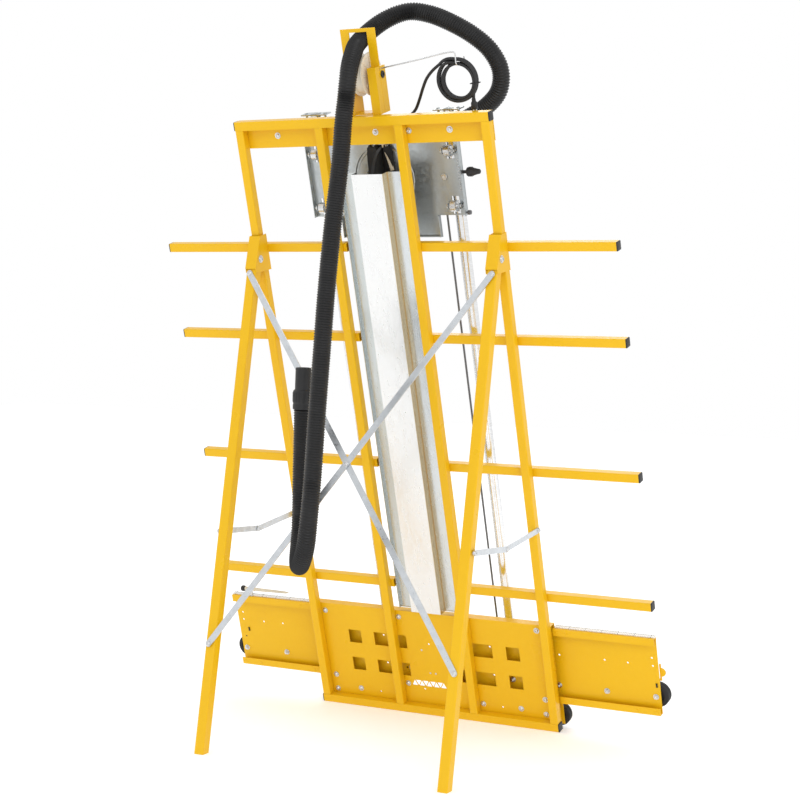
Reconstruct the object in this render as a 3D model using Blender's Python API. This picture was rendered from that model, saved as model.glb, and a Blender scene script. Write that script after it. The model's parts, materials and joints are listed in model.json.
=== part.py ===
"""Vertical panel saw on a folding A-frame stand.

World frame: metres, +Z up, the operator stands on the -Y side, +X is the operator's right, and the floor is Z = 0.
The leaning frame has its own axes: x across, y out of its rear face (y = 0 is the rear face of the uprights) and
z up along the uprights (z = 0 is the bottom rail's underside).
"""

import math

import bmesh
import bpy
import numpy as np
from mathutils import Matrix, Vector

# ---- driving dimensions -------------------------------------------------------------------------------------------
GAP = 0.0003                       # clearance between pieces that seat on each other
LEAN = math.radians(15.33)         # lean of the frame from the vertical

TUBE = 0.0254                      # side of the square tube
TUBE_WALL = 0.0016
TUBE_ROUND = 0.0025                # outside corner radius of the square tube
FRAME_LENGTH = 1.830               # along the lean, bottom rail's underside to header top
FRAME_HALF_WIDTH = 0.400           # to the outer faces of the outer uprights
INNER_UPRIGHT_X = 0.1257           # centre of an inner upright
HEADER_PLATE_DROP = 0.081          # height of the header's front plate
HEADER_PLATE_THICK = 0.003

BAR_HEIGHTS = (1.457, 1.191, 0.805, 0.420)
BAR_INNER_X = INNER_UPRIGHT_X - 0.0227
BAR_OUTER_X = 0.715

CENTRE_BOX_TOP = 0.330
CENTRE_BOX_BOTTOM = 0.003
SKIN = 0.002                       # sheet of the centre box and the wings
COVER_HOLE_R = 0.0032
COVER_HOLES = ((0.0123, 0.2275), (0.0461, 0.0736), (0.2038, 0.0451), (-0.2128, 0.0456))
SKIN_HOLES = ((0.1803, 0.2286), (0.1792, 0.1353), (0.1115, 0.1275), (-0.1808, 0.2294), (-0.1846, 0.1368))
WING_HOLE_R = 0.0032
WING_HOLES = {
    1: ((0.6915, 0.2540), (0.6925, 0.2290), (0.6165, 0.2280), (0.5455, 0.2290), (0.6925, 0.1700)),
    -1: ((-0.4060, 0.2290), (-0.5475, 0.2290), (-0.6185, 0.2285), (-0.6935, 0.2520), (-0.6945, 0.2270)),
}
WING_BOTTOM = 0.078
WING_TOP = 0.319
WING_OUTER_X = 0.711
WING_DEPTH = 0.0176                # how far a wing's flanges reach back
WING_LIP = 0.022

CHANNEL_TOP = FRAME_LENGTH - 0.162
CHANNEL_HALF_WIDTH = 0.100
CHANNEL_TROUGH = 0.050             # half width of the trough
CHANNEL_BACK_Y = -0.015            # rear face of the trough
CHANNEL_FLANGE_Y = -0.044          # front of the flanges
CHANNEL_SHEET = 0.0015
CHANNEL_LIP = 0.012

GUIDE_X = 0.212                    # guide tube centre
CARRIAGE_BACK_Y = -0.120
CARRIAGE_THICK = 0.003
GUIDE_R = 0.0159
GUIDE_Y = CARRIAGE_BACK_Y - CARRIAGE_THICK - 0.0011 - GUIDE_R
GUIDE_WALL = 0.002
GUIDE_TOP = FRAME_LENGTH - 0.013
GUIDE_BOTTOM = 0.020
ARM_HALF_WIDTH = 0.040             # guide tube arms on the header and on the centre box
ARM_THICK = 0.006
ARM_FRONT_Y = GUIDE_Y - GUIDE_R - 0.0061
HEADER_ARM_Z = FRAME_LENGTH - 0.030   # underside of the header's arms
BASE_ARM_Z = 0.034                 # underside of the lower arms

CARRIAGE_Z = FRAME_LENGTH - 0.199     # centre of the turntable at the top of the travel
CARRIAGE_HALF_WIDTH = 0.2445
CARRIAGE_HALF_HEIGHT = 0.1065
APRON_HALF_WIDTH = 0.157
APRON_BOTTOM = CARRIAGE_Z - 0.169
TURNTABLE_HOLE_R = 0.098
TURNTABLE_R = 0.112
TURNTABLE_THICK = 0.003
WHEEL_OFFSET_Z = 0.0775            # guide wheels above and below the turntable's centre
WHEEL_R = 0.016
WHEEL_WIDTH = 0.018

BLADE_R = 0.092                    # 184 mm blade
BLADE_THICK = 0.0022
BLADE_Y = -0.138                   # blade axis
BLADE_BORE_R = 0.008
GUARD_R = 0.103
GUARD_CAVITY_R = 0.0965
GUARD_HALF_WIDTH = 0.016
GUARD_SLOT_HALF = 0.0065
LOWER_GUARD_R = 0.0952
MOTOR_R = 0.044
MOTOR_END_X = 0.150
MOTOR_Y = -0.190
HANDLE_FRONT_Y = -0.345
TRIGGER_TRAVEL = 0.005
PORT_X = -0.115                    # dust port on the carriage
PORT_Z = CARRIAGE_Z + 0.085
PORT_R = 0.024
PORT_WALL = 0.002
PORT_Y = -0.200                    # where the port turns sideways

REEL_X = -0.0115                   # centre of the counterbalance reel
REEL_Z = FRAME_LENGTH + 0.106
REEL_Y = -0.066
REEL_R = 0.060
REEL_DRUM_R = 0.052
REEL_WIDTH = 0.036
REEL_AXLE_R = 0.006
GANTRY_INNER = 0.028               # half of the gap between the gantry's posts
GANTRY_POST = 0.026                # width of a post
GANTRY_TOP = FRAME_LENGTH + 0.232
GANTRY_BAR = 0.010                 # height of the top bar
GANTRY_PLATE_Y = -0.050
GANTRY_PLATE = 0.003
GANTRY_CHEEK_TOP = FRAME_LENGTH + 0.127
GANTRY_CHEEK_DEPTH = 0.055
CABLE_R = 0.0015

LEG_ANGLE = math.radians(27.15)    # between a leg and the uprights when the stand is open
LEG_PIVOT_Y = 0.022
LEG_PIVOT_Z = 1.437
LEG_TOP = 0.004                    # leg beyond the pivot
LEG_TUBE = 0.030                   # side of a leg's square tube
LEG_SIDE_GAP = 0.0006
CHEEK = 0.0025                     # leg bracket sheet
CHEEK_BITE = 0.0003                # how far a cheek is let into the upright
BRACKET_TOP = LEG_PIVOT_Z + 0.063
BRACKET_BOTTOM = LEG_PIVOT_Z - 0.043
BRACKET_DEPTH = 0.053
BRACE_WIDTH = 0.018
BRACE_THICK = 0.003
BRACE_HIGH = 0.045                 # along the leg, from its pivot to the upper end of a brace
BRACE_LOW = 1.105                  # and to the lower end
STAY_WIDTH = 0.016
STAY_THICK = 0.003
STAY_LEG = 0.7876                  # along the leg, from its pivot to the stay's pivot
STAY_UPRIGHT_Y = -TUBE / 2
STAY_UPRIGHT_Z = 0.6361
STAY_FRONT_LENGTH = 0.2110         # link on the upright
STAY_REAR_LENGTH = 0.1977          # link on the leg

ROLLER_XS = (0.096, 0.246, 0.396, 0.546, 0.696)
ROLLER_Z = 0.130
ROLLER_R = 0.036
ROLLER_WIDTH = 0.025
ROLLER_BORE_R = 0.005
CASTER_X = FRAME_HALF_WIDTH - 0.020                   # transport wheels
CASTER_Z = 0.028
CASTER_R = 0.0355
CASTER_WIDTH = 0.022
WHEEL_STANDOFF = 0.003

HOSE_R = 0.025
HOSE_EASE = 0.020                  # how far the hose's stiffness evens out its bends
CUFF_R = 0.0275
CUFF_NOZZLE_R = 0.0215
CUFF_BORE_R = 0.0185
CUFF_LENGTH = 0.113
CORD_R = 0.00425
COIL_R = 0.0605                    # outside of the wound cord
COIL_INNER_R = 0.0415
COIL_HALF_WIDTH = 0.009
COIL_CENTRE = (-0.290, -0.064, 1.907)
WIRE_R = 0.002

FRONT_PLANE_Y = -TUBE - GAP - TUBE                     # sheet goods lie against this plane
RAIL_TOP = TUBE
HEADER_UNDERSIDE = FRAME_LENGTH - TUBE
OUTER_UPRIGHT_X = FRAME_HALF_WIDTH - TUBE / 2
TURNTABLE_BACK_Y = CARRIAGE_BACK_Y - CARRIAGE_THICK - GAP
SHOE_Y = TURNTABLE_BACK_Y - TURNTABLE_THICK            # front face of the turntable, under the saw


# ---- shapes ---------------------------------------------------------------------------------------------------------
def rounded_rectangle(half_a, half_b, radius, steps=2, centre=(0, 0)):
    """Points of a rectangle with arc corners, counter-clockwise."""
    points = []
    for corner, (sa, sb) in enumerate(((1, 1), (-1, 1), (-1, -1), (1, -1))):
        for k in range(steps + 1):
            angle = math.pi / 2 * (corner + k / steps)
            points.append((
                centre[0] + sa * (half_a - radius) + radius * math.cos(angle),
                centre[1] + sb * (half_b - radius) + radius * math.sin(angle),
            ))
    return points


def rectangle(a0, a1, b0, b1):
    return [(a0, b0), (a1, b0), (a1, b1), (a0, b1)]


def circle(centre, radius, sides):
    return [
        (centre[0] + radius * math.cos(2 * math.pi * k / sides), centre[1] + radius * math.sin(2 * math.pi * k / sides))
        for k in range(sides)
    ]


def axes(origin, along_a, along_b):
    """Matrix that takes profile coordinates (a, b, depth) to space."""
    a = Vector(along_a)
    b = Vector(along_b)
    return Matrix.Translation(origin) @ Matrix((a, b, a.cross(b))).transposed().to_4x4()


def face_out(bm):
    """Turn every face of a closed shape outwards."""
    bmesh.ops.recalc_face_normals(bm, faces=bm.faces[:])
    if bm.calc_volume(signed=True) < 0:
        bmesh.ops.reverse_faces(bm, faces=bm.faces[:])


def plate(loops, depth, matrix):
    """Flat sheet: the first loop is its outline and the rest are holes, thickened by depth along a x b."""
    bm = bmesh.new()
    edges = []
    for loop in loops:
        verts = [bm.verts.new((a, b, 0)) for a, b in loop]
        edges += [bm.edges.new((verts[k - 1], verts[k])) for k in range(len(verts))]
    bmesh.ops.triangle_fill(bm, use_beauty=True, use_dissolve=False, edges=edges)
    top = bmesh.ops.extrude_face_region(bm, geom=bm.faces[:])
    moved = [item for item in top["geom"] if isinstance(item, bmesh.types.BMVert)]
    bmesh.ops.translate(bm, vec=(0, 0, depth), verts=moved)
    bm.transform(matrix)
    face_out(bm)
    return bm


def box(x0, x1, y0, y1, z0, z1):
    bm = bmesh.new()
    bmesh.ops.create_cube(bm, size=1)
    centre = Vector(((x0 + x1) / 2, (y0 + y1) / 2, (z0 + z1) / 2))
    bm.transform(Matrix.Translation(centre) @ Matrix.Diagonal((x1 - x0, y1 - y0, z1 - z0, 1)))
    return bm


def square_tube(length, matrix, width=TUBE):
    """Open-ended square tube with rounded corners, running along the matrix's third axis."""
    outer = rounded_rectangle(width / 2, TUBE / 2, TUBE_ROUND)
    inner = rectangle(TUBE_WALL - width / 2, width / 2 - TUBE_WALL, TUBE_WALL - TUBE / 2, TUBE / 2 - TUBE_WALL)
    return plate([outer, inner], length, matrix)


def turned(profile, sides, matrix):
    """Closed profile of (radius, height) points turned about the matrix's third axis. Every radius is over 0."""
    ring = np.asarray(profile, dtype=float)
    angle = 2 * np.pi * np.arange(sides) / sides
    x = np.outer(np.cos(angle), ring[:, 0])
    y = np.outer(np.sin(angle), ring[:, 0])
    z = np.broadcast_to(ring[:, 1], x.shape)
    bm = bmesh.new()
    count = len(ring)
    verts = [bm.verts.new(p) for p in np.stack((x, y, z), axis=-1).reshape(-1, 3)]
    for i in range(sides):
        for j in range(count):
            following = (i + 1) % sides
            after = (j + 1) % count
            bm.faces.new((
                verts[i * count + j], verts[following * count + j],
                verts[following * count + after], verts[i * count + after],
            ))
    bm.transform(matrix)
    face_out(bm)
    return bm


def cylinder(radius, length, sides, matrix):
    """Solid round bar from the matrix's origin along its third axis."""
    return plate([circle((0, 0), radius, sides)], length, matrix)


ALONG_X = ((0, 1, 0), (0, 0, 1))          # profile in (y, z), depth along +x
ALONG_Y = ((0, 0, 1), (1, 0, 0))          # profile in (z, x), depth along +y
ALONG_Z = ((1, 0, 0), (0, 1, 0))          # profile in (x, y), depth along +z


def smooth_path(points, spacing, ease=0.0):
    """Centripetal Catmull-Rom curve through the points, read off at about the given spacing.

    ease is the width over which bends are evened out, with both ends kept.
    """
    p = np.asarray(points, dtype=float)
    p = np.vstack((2 * p[0] - p[1], p, 2 * p[-1] - p[-2]))
    out = []
    for i in range(1, len(p) - 2):
        knots = [0.0]
        for a, b in ((p[i - 1], p[i]), (p[i], p[i + 1]), (p[i + 1], p[i + 2])):
            knots.append(knots[-1] + math.sqrt(np.linalg.norm(b - a)))
        t0, t1, t2, t3 = knots
        steps = max(2, round(np.linalg.norm(p[i + 1] - p[i]) * 8 / spacing))
        for t in np.linspace(t1, t2, steps, endpoint=False):
            a1 = (t1 - t) / (t1 - t0) * p[i - 1] + (t - t0) / (t1 - t0) * p[i]
            a2 = (t2 - t) / (t2 - t1) * p[i] + (t - t1) / (t2 - t1) * p[i + 1]
            a3 = (t3 - t) / (t3 - t2) * p[i + 1] + (t - t2) / (t3 - t2) * p[i + 2]
            b1 = (t2 - t) / (t2 - t0) * a1 + (t - t0) / (t2 - t0) * a2
            b2 = (t3 - t) / (t3 - t1) * a2 + (t - t1) / (t3 - t1) * a3
            out.append((t2 - t) / (t2 - t1) * b1 + (t - t1) / (t2 - t1) * b2)
    out.append(p[-2])
    line = np.array(out)
    run = np.concatenate(([0.0], np.cumsum(np.linalg.norm(np.diff(line, axis=0), axis=1))))
    even = np.linspace(0, run[-1], max(2, round(run[-1] / 0.004)) + 1)
    line = np.stack([np.interp(even, run, line[:, k]) for k in range(3)], axis=-1)
    for _ in range(round(2 * (ease / 0.004) ** 2)):
        line[2:-2] = (line[1:-3] + 2 * line[2:-2] + line[3:-1]) / 4
    stops = np.linspace(0, run[-1], max(2, round(run[-1] / spacing)) + 1)
    return np.stack([np.interp(stops, even, line[:, k]) for k in range(3)], axis=-1)


# ---- materials and objects ------------------------------------------------------------------------------------------
def material(name, colour, roughness, metallic):
    made = bpy.data.materials.new(name)
    made.use_nodes = True
    shader = made.node_tree.nodes["Principled BSDF"]
    shader.inputs["Base Color"].default_value = (*colour, 1)
    shader.inputs["Roughness"].default_value = roughness
    shader.inputs["Metallic"].default_value = metallic
    return made


def clear_scene():
    for old in list(bpy.data.objects):
        bpy.data.objects.remove(old, do_unlink=True)


def empty(name, location, parent=None, rotation=(0, 0, 0)):
    made = bpy.data.objects.new(name, None)
    bpy.context.scene.collection.objects.link(made)
    made.parent = parent
    made.location = location
    made.rotation_euler = rotation
    made.empty_display_size = 0.05
    return made


def piece(name, bm, finish, parent, pivot=(0, 0, 0), smooth=False):
    """Make bm an object of that name. Its mesh is given in the parent's axes, and its origin is put at pivot."""
    bm.transform(Matrix.Translation(-Vector(pivot)))
    mesh = bpy.data.meshes.new(name)
    bm.to_mesh(mesh)
    bm.free()
    mesh.materials.append(finish)
    if smooth:
        mesh.shade_smooth()
        mesh.set_sharp_from_angle(angle=math.radians(35))
    made = bpy.data.objects.new(name, mesh)
    bpy.context.scene.collection.objects.link(made)
    made.parent = parent
    made.location = pivot
    return made


def combine(target, tools, operation):
    """Boolean the tools, given as bmeshes in the parent's axes, into the target object."""
    for number, tool in enumerate(tools, len(target.modifiers)):
        cutter = piece(f"{target.name}.tool{number}", tool, target.data.materials[0], target.parent)
        cutter.hide_render = True
        cutter.display_type = "WIRE"
        step = target.modifiers.new(f"{operation.lower()}{number}", "BOOLEAN")
        step.operation = operation
        step.solver = "EXACT"
        step.object = cutter


def cord(name, points, radius, spacing, resolution, finish, parent, ease=0.0):
    """Solid round cord along a smooth curve through the points."""
    curve = bpy.data.curves.new(name, "CURVE")
    curve.dimensions = "3D"
    curve.bevel_depth = radius
    curve.bevel_resolution = resolution
    curve.use_fill_caps = True
    spline = curve.splines.new("POLY")
    path = smooth_path(points, spacing, ease)
    spline.points.add(len(path) - 1)
    for point, place in zip(spline.points, path):
        point.co = (*place, 1)
    curve.materials.append(finish)
    made = bpy.data.objects.new(name, curve)
    bpy.context.scene.collection.objects.link(made)
    made.parent = parent
    return made


# ---- the fixed frame ------------------------------------------------------------------------------------------------
def tube_arm(side, under, rear_y):
    """Flat arm that reaches forward and holds a guide tube in a clearance hole."""
    x = side * GUIDE_X
    outline = rectangle(x - ARM_HALF_WIDTH, x + ARM_HALF_WIDTH, ARM_FRONT_Y, rear_y)
    hole = circle((x, GUIDE_Y), GUIDE_R + GAP, 24)
    return plate([outline, hole], ARM_THICK, axes((0, 0, under), *ALONG_Z))


def build_header(frame, yellow):
    """Header tube with the plate that hangs in front of the uprights, and the two arms for the guide tubes."""
    plate_back = -TUBE - GAP
    plate_front = plate_back - HEADER_PLATE_THICK
    outline = [
        (0, FRAME_LENGTH), (0, HEADER_UNDERSIDE), (plate_back, HEADER_UNDERSIDE),
        (plate_back, FRAME_LENGTH - HEADER_PLATE_DROP), (plate_front, FRAME_LENGTH - HEADER_PLATE_DROP),
        (plate_front, FRAME_LENGTH),
    ]
    hollow = rectangle(TUBE_WALL - TUBE, -TUBE_WALL, HEADER_UNDERSIDE + TUBE_WALL, FRAME_LENGTH - TUBE_WALL)
    matrix = axes((-FRAME_HALF_WIDTH, 0, 0), *ALONG_X)
    header = piece("header_beam", plate([outline, hollow], 2 * FRAME_HALF_WIDTH, matrix), yellow, frame)
    bite = HEADER_PLATE_THICK / 2
    combine(header, [tube_arm(side, HEADER_ARM_Z, plate_front + bite) for side in (-1, 1)], "UNION")


def leg_bracket(side):
    """Two cheeks and a sloping rear web that carry a leg's pivot, let into the upright by CHEEK_BITE.

    The leg is wider than the upright, so the inner cheek stands on a spacer.
    """
    slope_top = (0.006, BRACKET_TOP)
    cheek = [
        (-TUBE, BRACKET_BOTTOM), (BRACKET_DEPTH, BRACKET_BOTTOM + 0.010), (BRACKET_DEPTH, BRACKET_BOTTOM + 0.022),
        slope_top, (-TUBE, BRACKET_TOP),
    ]
    outer_face = side * (OUTER_UPRIGHT_X + TUBE / 2 - CHEEK_BITE)
    inner_face = outer_face - side * (LEG_TUBE + 2 * LEG_SIDE_GAP)
    low, high = sorted((outer_face + side * CHEEK, inner_face - side * CHEEK))
    made = [plate([cheek], CHEEK, axes((x0, 0, 0), *ALONG_X)) for x0 in (low, high - CHEEK)]
    run = BRACKET_DEPTH - slope_top[0]
    rise = slope_top[1] - BRACKET_BOTTOM - 0.022
    length = math.hypot(run, rise)
    normal = (rise / length, run / length)
    web = [
        (BRACKET_DEPTH, BRACKET_BOTTOM + 0.022), slope_top,
        (slope_top[0] + CHEEK * normal[0], slope_top[1] + CHEEK * normal[1]),
        (BRACKET_DEPTH + CHEEK * normal[0], BRACKET_BOTTOM + 0.022 + CHEEK * normal[1]),
    ]
    sunk = [(y - 0.3 * CHEEK * normal[0], z - 0.3 * CHEEK * normal[1]) for y, z in web]
    made.append(plate([sunk], high - low, axes((low, 0, 0), *ALONG_X)))
    upright_face = side * (OUTER_UPRIGHT_X - TUBE / 2 + CHEEK_BITE)
    x0, x1 = sorted((upright_face, inner_face - side * CHEEK / 2))
    made.append(box(x0, x1, 0.0015 - TUBE, -0.0015, BRACKET_BOTTOM + 0.002, BRACKET_TOP - 0.002))
    return made


def build_uprights(frame, yellow):
    length = HEADER_UNDERSIDE - RAIL_TOP - 2 * GAP
    for side, word in ((-1, "left"), (1, "right")):
        for x, kind in ((side * OUTER_UPRIGHT_X, "outer"), (side * INNER_UPRIGHT_X, "inner")):
            matrix = axes((x, -TUBE / 2, RAIL_TOP + GAP), *ALONG_Z)
            upright = piece(f"upright_{kind}_{word}", square_tube(length, matrix), yellow, frame)
            if kind == "outer":
                combine(upright, leg_bracket(side), "UNION")


def build_rail_and_bars(frame, yellow):
    matrix = axes((-FRAME_HALF_WIDTH, -TUBE / 2, TUBE / 2), *ALONG_X)
    piece("bottom_rail", square_tube(2 * FRAME_HALF_WIDTH, matrix), yellow, frame)
    for number, height in enumerate(BAR_HEIGHTS, 1):
        for side, word in ((-1, "left"), (1, "right")):
            start = BAR_INNER_X if side > 0 else -BAR_OUTER_X
            matrix = axes((start, -TUBE - GAP - TUBE / 2, height), *ALONG_X)
            bar = square_tube(BAR_OUTER_X - BAR_INNER_X, matrix)
            piece(f"support_bar_{number}_{word}", bar, yellow, frame)


def centre_windows():
    """Window loops of the centre box as (z, x) points."""
    rows = ((0.2045, 0.2475), (0.1120, 0.1545))
    columns = ((0.088, 0.200), (0.2457, 0.2890))
    return [
        rectangle(z0, z1, side * x0, side * x1) if side > 0 else rectangle(z0, z1, -x1, -x0)
        for z0, z1 in rows for x0, x1 in columns for side in (-1, 1)
    ]


def truss_holes():
    """The row of triangles under the windows as (z, x) loops: alternately point down and point up, with thin webs."""
    low, high = 0.0830, 0.1010
    pitch, half = 0.0123, 0.0096
    made = []
    for k in range(9):
        x = 0.0778 - k * pitch
        base, tip = (high, low) if k % 2 else (low, high)
        made.append([(base, x - half), (base, x + half), (tip, x)])
    return made


def build_centre_box(frame, yellow):
    """Folded cover over the lower frame: rear skin with windows, front skin, and lower arms for the guide tubes."""
    back = -TUBE - GAP
    fold = [
        (back, CENTRE_BOX_BOTTOM), (back, CENTRE_BOX_TOP), (FRONT_PLANE_Y, CENTRE_BOX_TOP),
        (FRONT_PLANE_Y, CENTRE_BOX_BOTTOM), (FRONT_PLANE_Y + SKIN, CENTRE_BOX_BOTTOM),
        (FRONT_PLANE_Y + SKIN, CENTRE_BOX_TOP - SKIN), (back - SKIN, CENTRE_BOX_TOP - SKIN),
        (back - SKIN, CENTRE_BOX_BOTTOM),
    ]
    matrix = axes((-FRAME_HALF_WIDTH, 0, 0), *ALONG_X)
    cover = piece("centre_cover", plate([fold], 2 * FRAME_HALF_WIDTH, matrix), yellow, frame)
    combine(cover, [tube_arm(side, BASE_ARM_Z, FRONT_PLANE_Y + SKIN / 2) for side in (-1, 1)], "UNION")
    rear = axes((0, back - 2 * SKIN, 0), *ALONG_Y)
    front = axes((0, FRONT_PLANE_Y - SKIN, 0), *ALONG_Y)
    cuts = [plate([window], 3 * SKIN, rear) for window in centre_windows()]
    cuts += [plate([loop], 3 * SKIN, rear) for loop in truss_holes()]
    cuts += [plate([circle((z, x), COVER_HOLE_R, 8)], 3 * SKIN, rear) for x, z in COVER_HOLES]
    cuts.append(plate([rectangle(0.066, 0.092, -0.022, 0.106)], 3 * SKIN, front))
    through = [(x + 0.0127, z - 0.0121) for x, z in COVER_HOLES]
    cuts += [plate([circle((z, x), 1.5 * COVER_HOLE_R, 8)], 3 * SKIN, front) for x, z in through]
    cuts += [plate([circle((z, x), COVER_HOLE_R, 8)], 3 * SKIN, front) for x, z in SKIN_HOLES]
    combine(cover, cuts, "DIFFERENCE")


def build_wings(frame, yellow):
    """Pans at each side of the centre cover, folded from one sheet with lips at the back."""
    back = FRONT_PLANE_Y + WING_DEPTH
    low, high = WING_BOTTOM, WING_TOP
    fold = [
        (FRONT_PLANE_Y, low), (FRONT_PLANE_Y, high), (back, high), (back, high - WING_LIP),
        (back - SKIN, high - WING_LIP), (back - SKIN, high - SKIN), (FRONT_PLANE_Y + SKIN, high - SKIN),
        (FRONT_PLANE_Y + SKIN, low + SKIN), (back - SKIN, low + SKIN), (back - SKIN, low + WING_LIP),
        (back, low + WING_LIP), (back, low),
    ]
    inner = FRAME_HALF_WIDTH + GAP
    for side, word in ((-1, "left"), (1, "right")):
        start = inner if side > 0 else -WING_OUTER_X
        matrix = axes((start, 0, 0), *ALONG_X)
        wing = piece(f"wing_{word}", plate([fold], WING_OUTER_X - inner, matrix), yellow, frame)
        flat = axes((0, FRONT_PLANE_Y - SKIN, 0), *ALONG_Y)
        holes = [plate([circle((z, x), WING_HOLE_R, 8)], 3 * SKIN, flat) for x, z in WING_HOLES[side]]
        combine(wing, holes, "DIFFERENCE")


def build_dust_channel(frame, zinc):
    """Hat-section sheet between the inner uprights: a trough open to the front, with flanges and small lips."""
    t = CHANNEL_SHEET
    front = CHANNEL_FLANGE_Y
    lip = front + CHANNEL_LIP
    half = [
        (CHANNEL_TROUGH, CHANNEL_BACK_Y), (CHANNEL_TROUGH, front + t), (CHANNEL_HALF_WIDTH - t, front + t),
        (CHANNEL_HALF_WIDTH - t, lip), (CHANNEL_HALF_WIDTH, lip), (CHANNEL_HALF_WIDTH, front),
        (CHANNEL_TROUGH - t, front), (CHANNEL_TROUGH - t, CHANNEL_BACK_Y - t),
    ]
    outline = half + [(-x, y) for x, y in reversed(half)]
    bottom = CENTRE_BOX_TOP + 0.006
    matrix = axes((0, 0, bottom), *ALONG_Z)
    piece("dust_channel", plate([outline], CHANNEL_TOP - bottom, matrix), zinc, frame)


def build_guide_tubes(frame, chrome):
    for side, word in ((-1, "left"), (1, "right")):
        ring = [
            (GUIDE_R, 0), (GUIDE_R, GUIDE_TOP - GUIDE_BOTTOM), (GUIDE_R - GUIDE_WALL, GUIDE_TOP - GUIDE_BOTTOM),
            (GUIDE_R - GUIDE_WALL, 0),
        ]
        matrix = axes((side * GUIDE_X, GUIDE_Y, GUIDE_BOTTOM), *ALONG_Z)
        piece(f"guide_tube_{word}", turned(ring, 24, matrix), chrome, frame, smooth=True)


def build_gantry(frame, yellow):
    """Bracket on the header that carries the reel: plate with a window, two deep cheeks, a base and the axle."""
    base = FRAME_LENGTH + GAP
    outer = GANTRY_INNER + GANTRY_POST
    ring = rectangle(base, GANTRY_TOP, REEL_X - outer, REEL_X + outer)
    hole = rectangle(base + 0.003, GANTRY_TOP - GANTRY_BAR, REEL_X - GANTRY_INNER, REEL_X + GANTRY_INNER)
    matrix = axes((0, GANTRY_PLATE_Y - GANTRY_PLATE, 0), *ALONG_Y)
    gantry = piece("reel_bracket", plate([ring, hole], GANTRY_PLATE, matrix), yellow, frame)
    rear = -TUBE
    front = rear - GANTRY_CHEEK_DEPTH
    inside = GANTRY_INNER
    cheeks = [
        box(REEL_X + inside, REEL_X + outer - 0.0005, front, rear, base, GANTRY_CHEEK_TOP),
        box(REEL_X - outer + 0.0005, REEL_X - inside, front, rear, base, GANTRY_CHEEK_TOP),
        box(REEL_X - inside - 0.001, REEL_X + inside + 0.001, front + 0.004, rear - 0.004, base, base + 0.004),
    ]
    span = 2 * (inside + 0.006)
    cheeks.append(cylinder(REEL_AXLE_R, span, 16, axes((REEL_X - span / 2, REEL_Y, REEL_Z), *ALONG_X)))
    combine(gantry, cheeks, "UNION")


def build_hook_arm(frame, wire):
    """Wire arm that holds the wound power cord: out from the gantry, down behind the coil and up in a hook."""
    start_x = REEL_X - GANTRY_INNER - GANTRY_POST - GAP
    rise = FRAME_LENGTH
    points = [
        (start_x, -0.050, rise + 0.121), (-0.180, -0.050, rise + 0.138), (-0.285, -0.050, rise + 0.154),
        (-0.2975, -0.050, rise + 0.152), (-0.2985, -0.050, rise + 0.135), (-0.2985, -0.050, rise + 0.118),
        (-0.2985, -0.054, rise + 0.114), (-0.2985, -0.066, rise + 0.112), (-0.2985, -0.078, rise + 0.114),
        (-0.2985, -0.081, rise + 0.120), (-0.2985, -0.081, rise + 0.130),
    ]
    cord("cord_hook_arm", points, WIRE_R, 0.004, 2, wire, frame)


# ---- the folding stand ----------------------------------------------------------------------------------------------
def along_leg(distance, offset=0.0):
    """(y, z) in the frame of a point on the leg: distance down from its pivot, offset out of its rear face."""
    return (
        LEG_PIVOT_Y + distance * math.sin(LEG_ANGLE) + offset * math.cos(LEG_ANGLE),
        LEG_PIVOT_Z - distance * math.cos(LEG_ANGLE) + offset * math.sin(LEG_ANGLE),
    )


def leg_foot(offset):
    """Distance down the leg at which its line at that offset meets the floor."""
    down = math.cos(LEG_ANGLE) * math.cos(LEAN) + math.sin(LEG_ANGLE) * math.sin(LEAN)
    y, z = along_leg(0, offset)
    return (z * math.cos(LEAN) - y * math.sin(LEAN)) / down


def leg_tube(side):
    """Square tube from just above the pivot to the floor, its foot cut level."""
    x = side * (OUTER_UPRIGHT_X + TUBE / 2 - CHEEK_BITE - LEG_SIDE_GAP - LEG_TUBE / 2)
    half = LEG_TUBE / 2
    outer = rounded_rectangle(half, half, TUBE_ROUND)
    inner = rectangle(TUBE_WALL - half, half - TUBE_WALL, TUBE_WALL - half, half - TUBE_WALL)
    bm = plate([outer, inner], 1.0, Matrix.Identity(4))
    for vert in bm.verts:
        across, offset, end = vert.co
        distance = leg_foot(offset) if end > 0.5 else -LEG_TOP
        y, z = along_leg(distance, offset)
        vert.co = (x + across, y, z)
    face_out(bm)
    return bm


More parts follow.
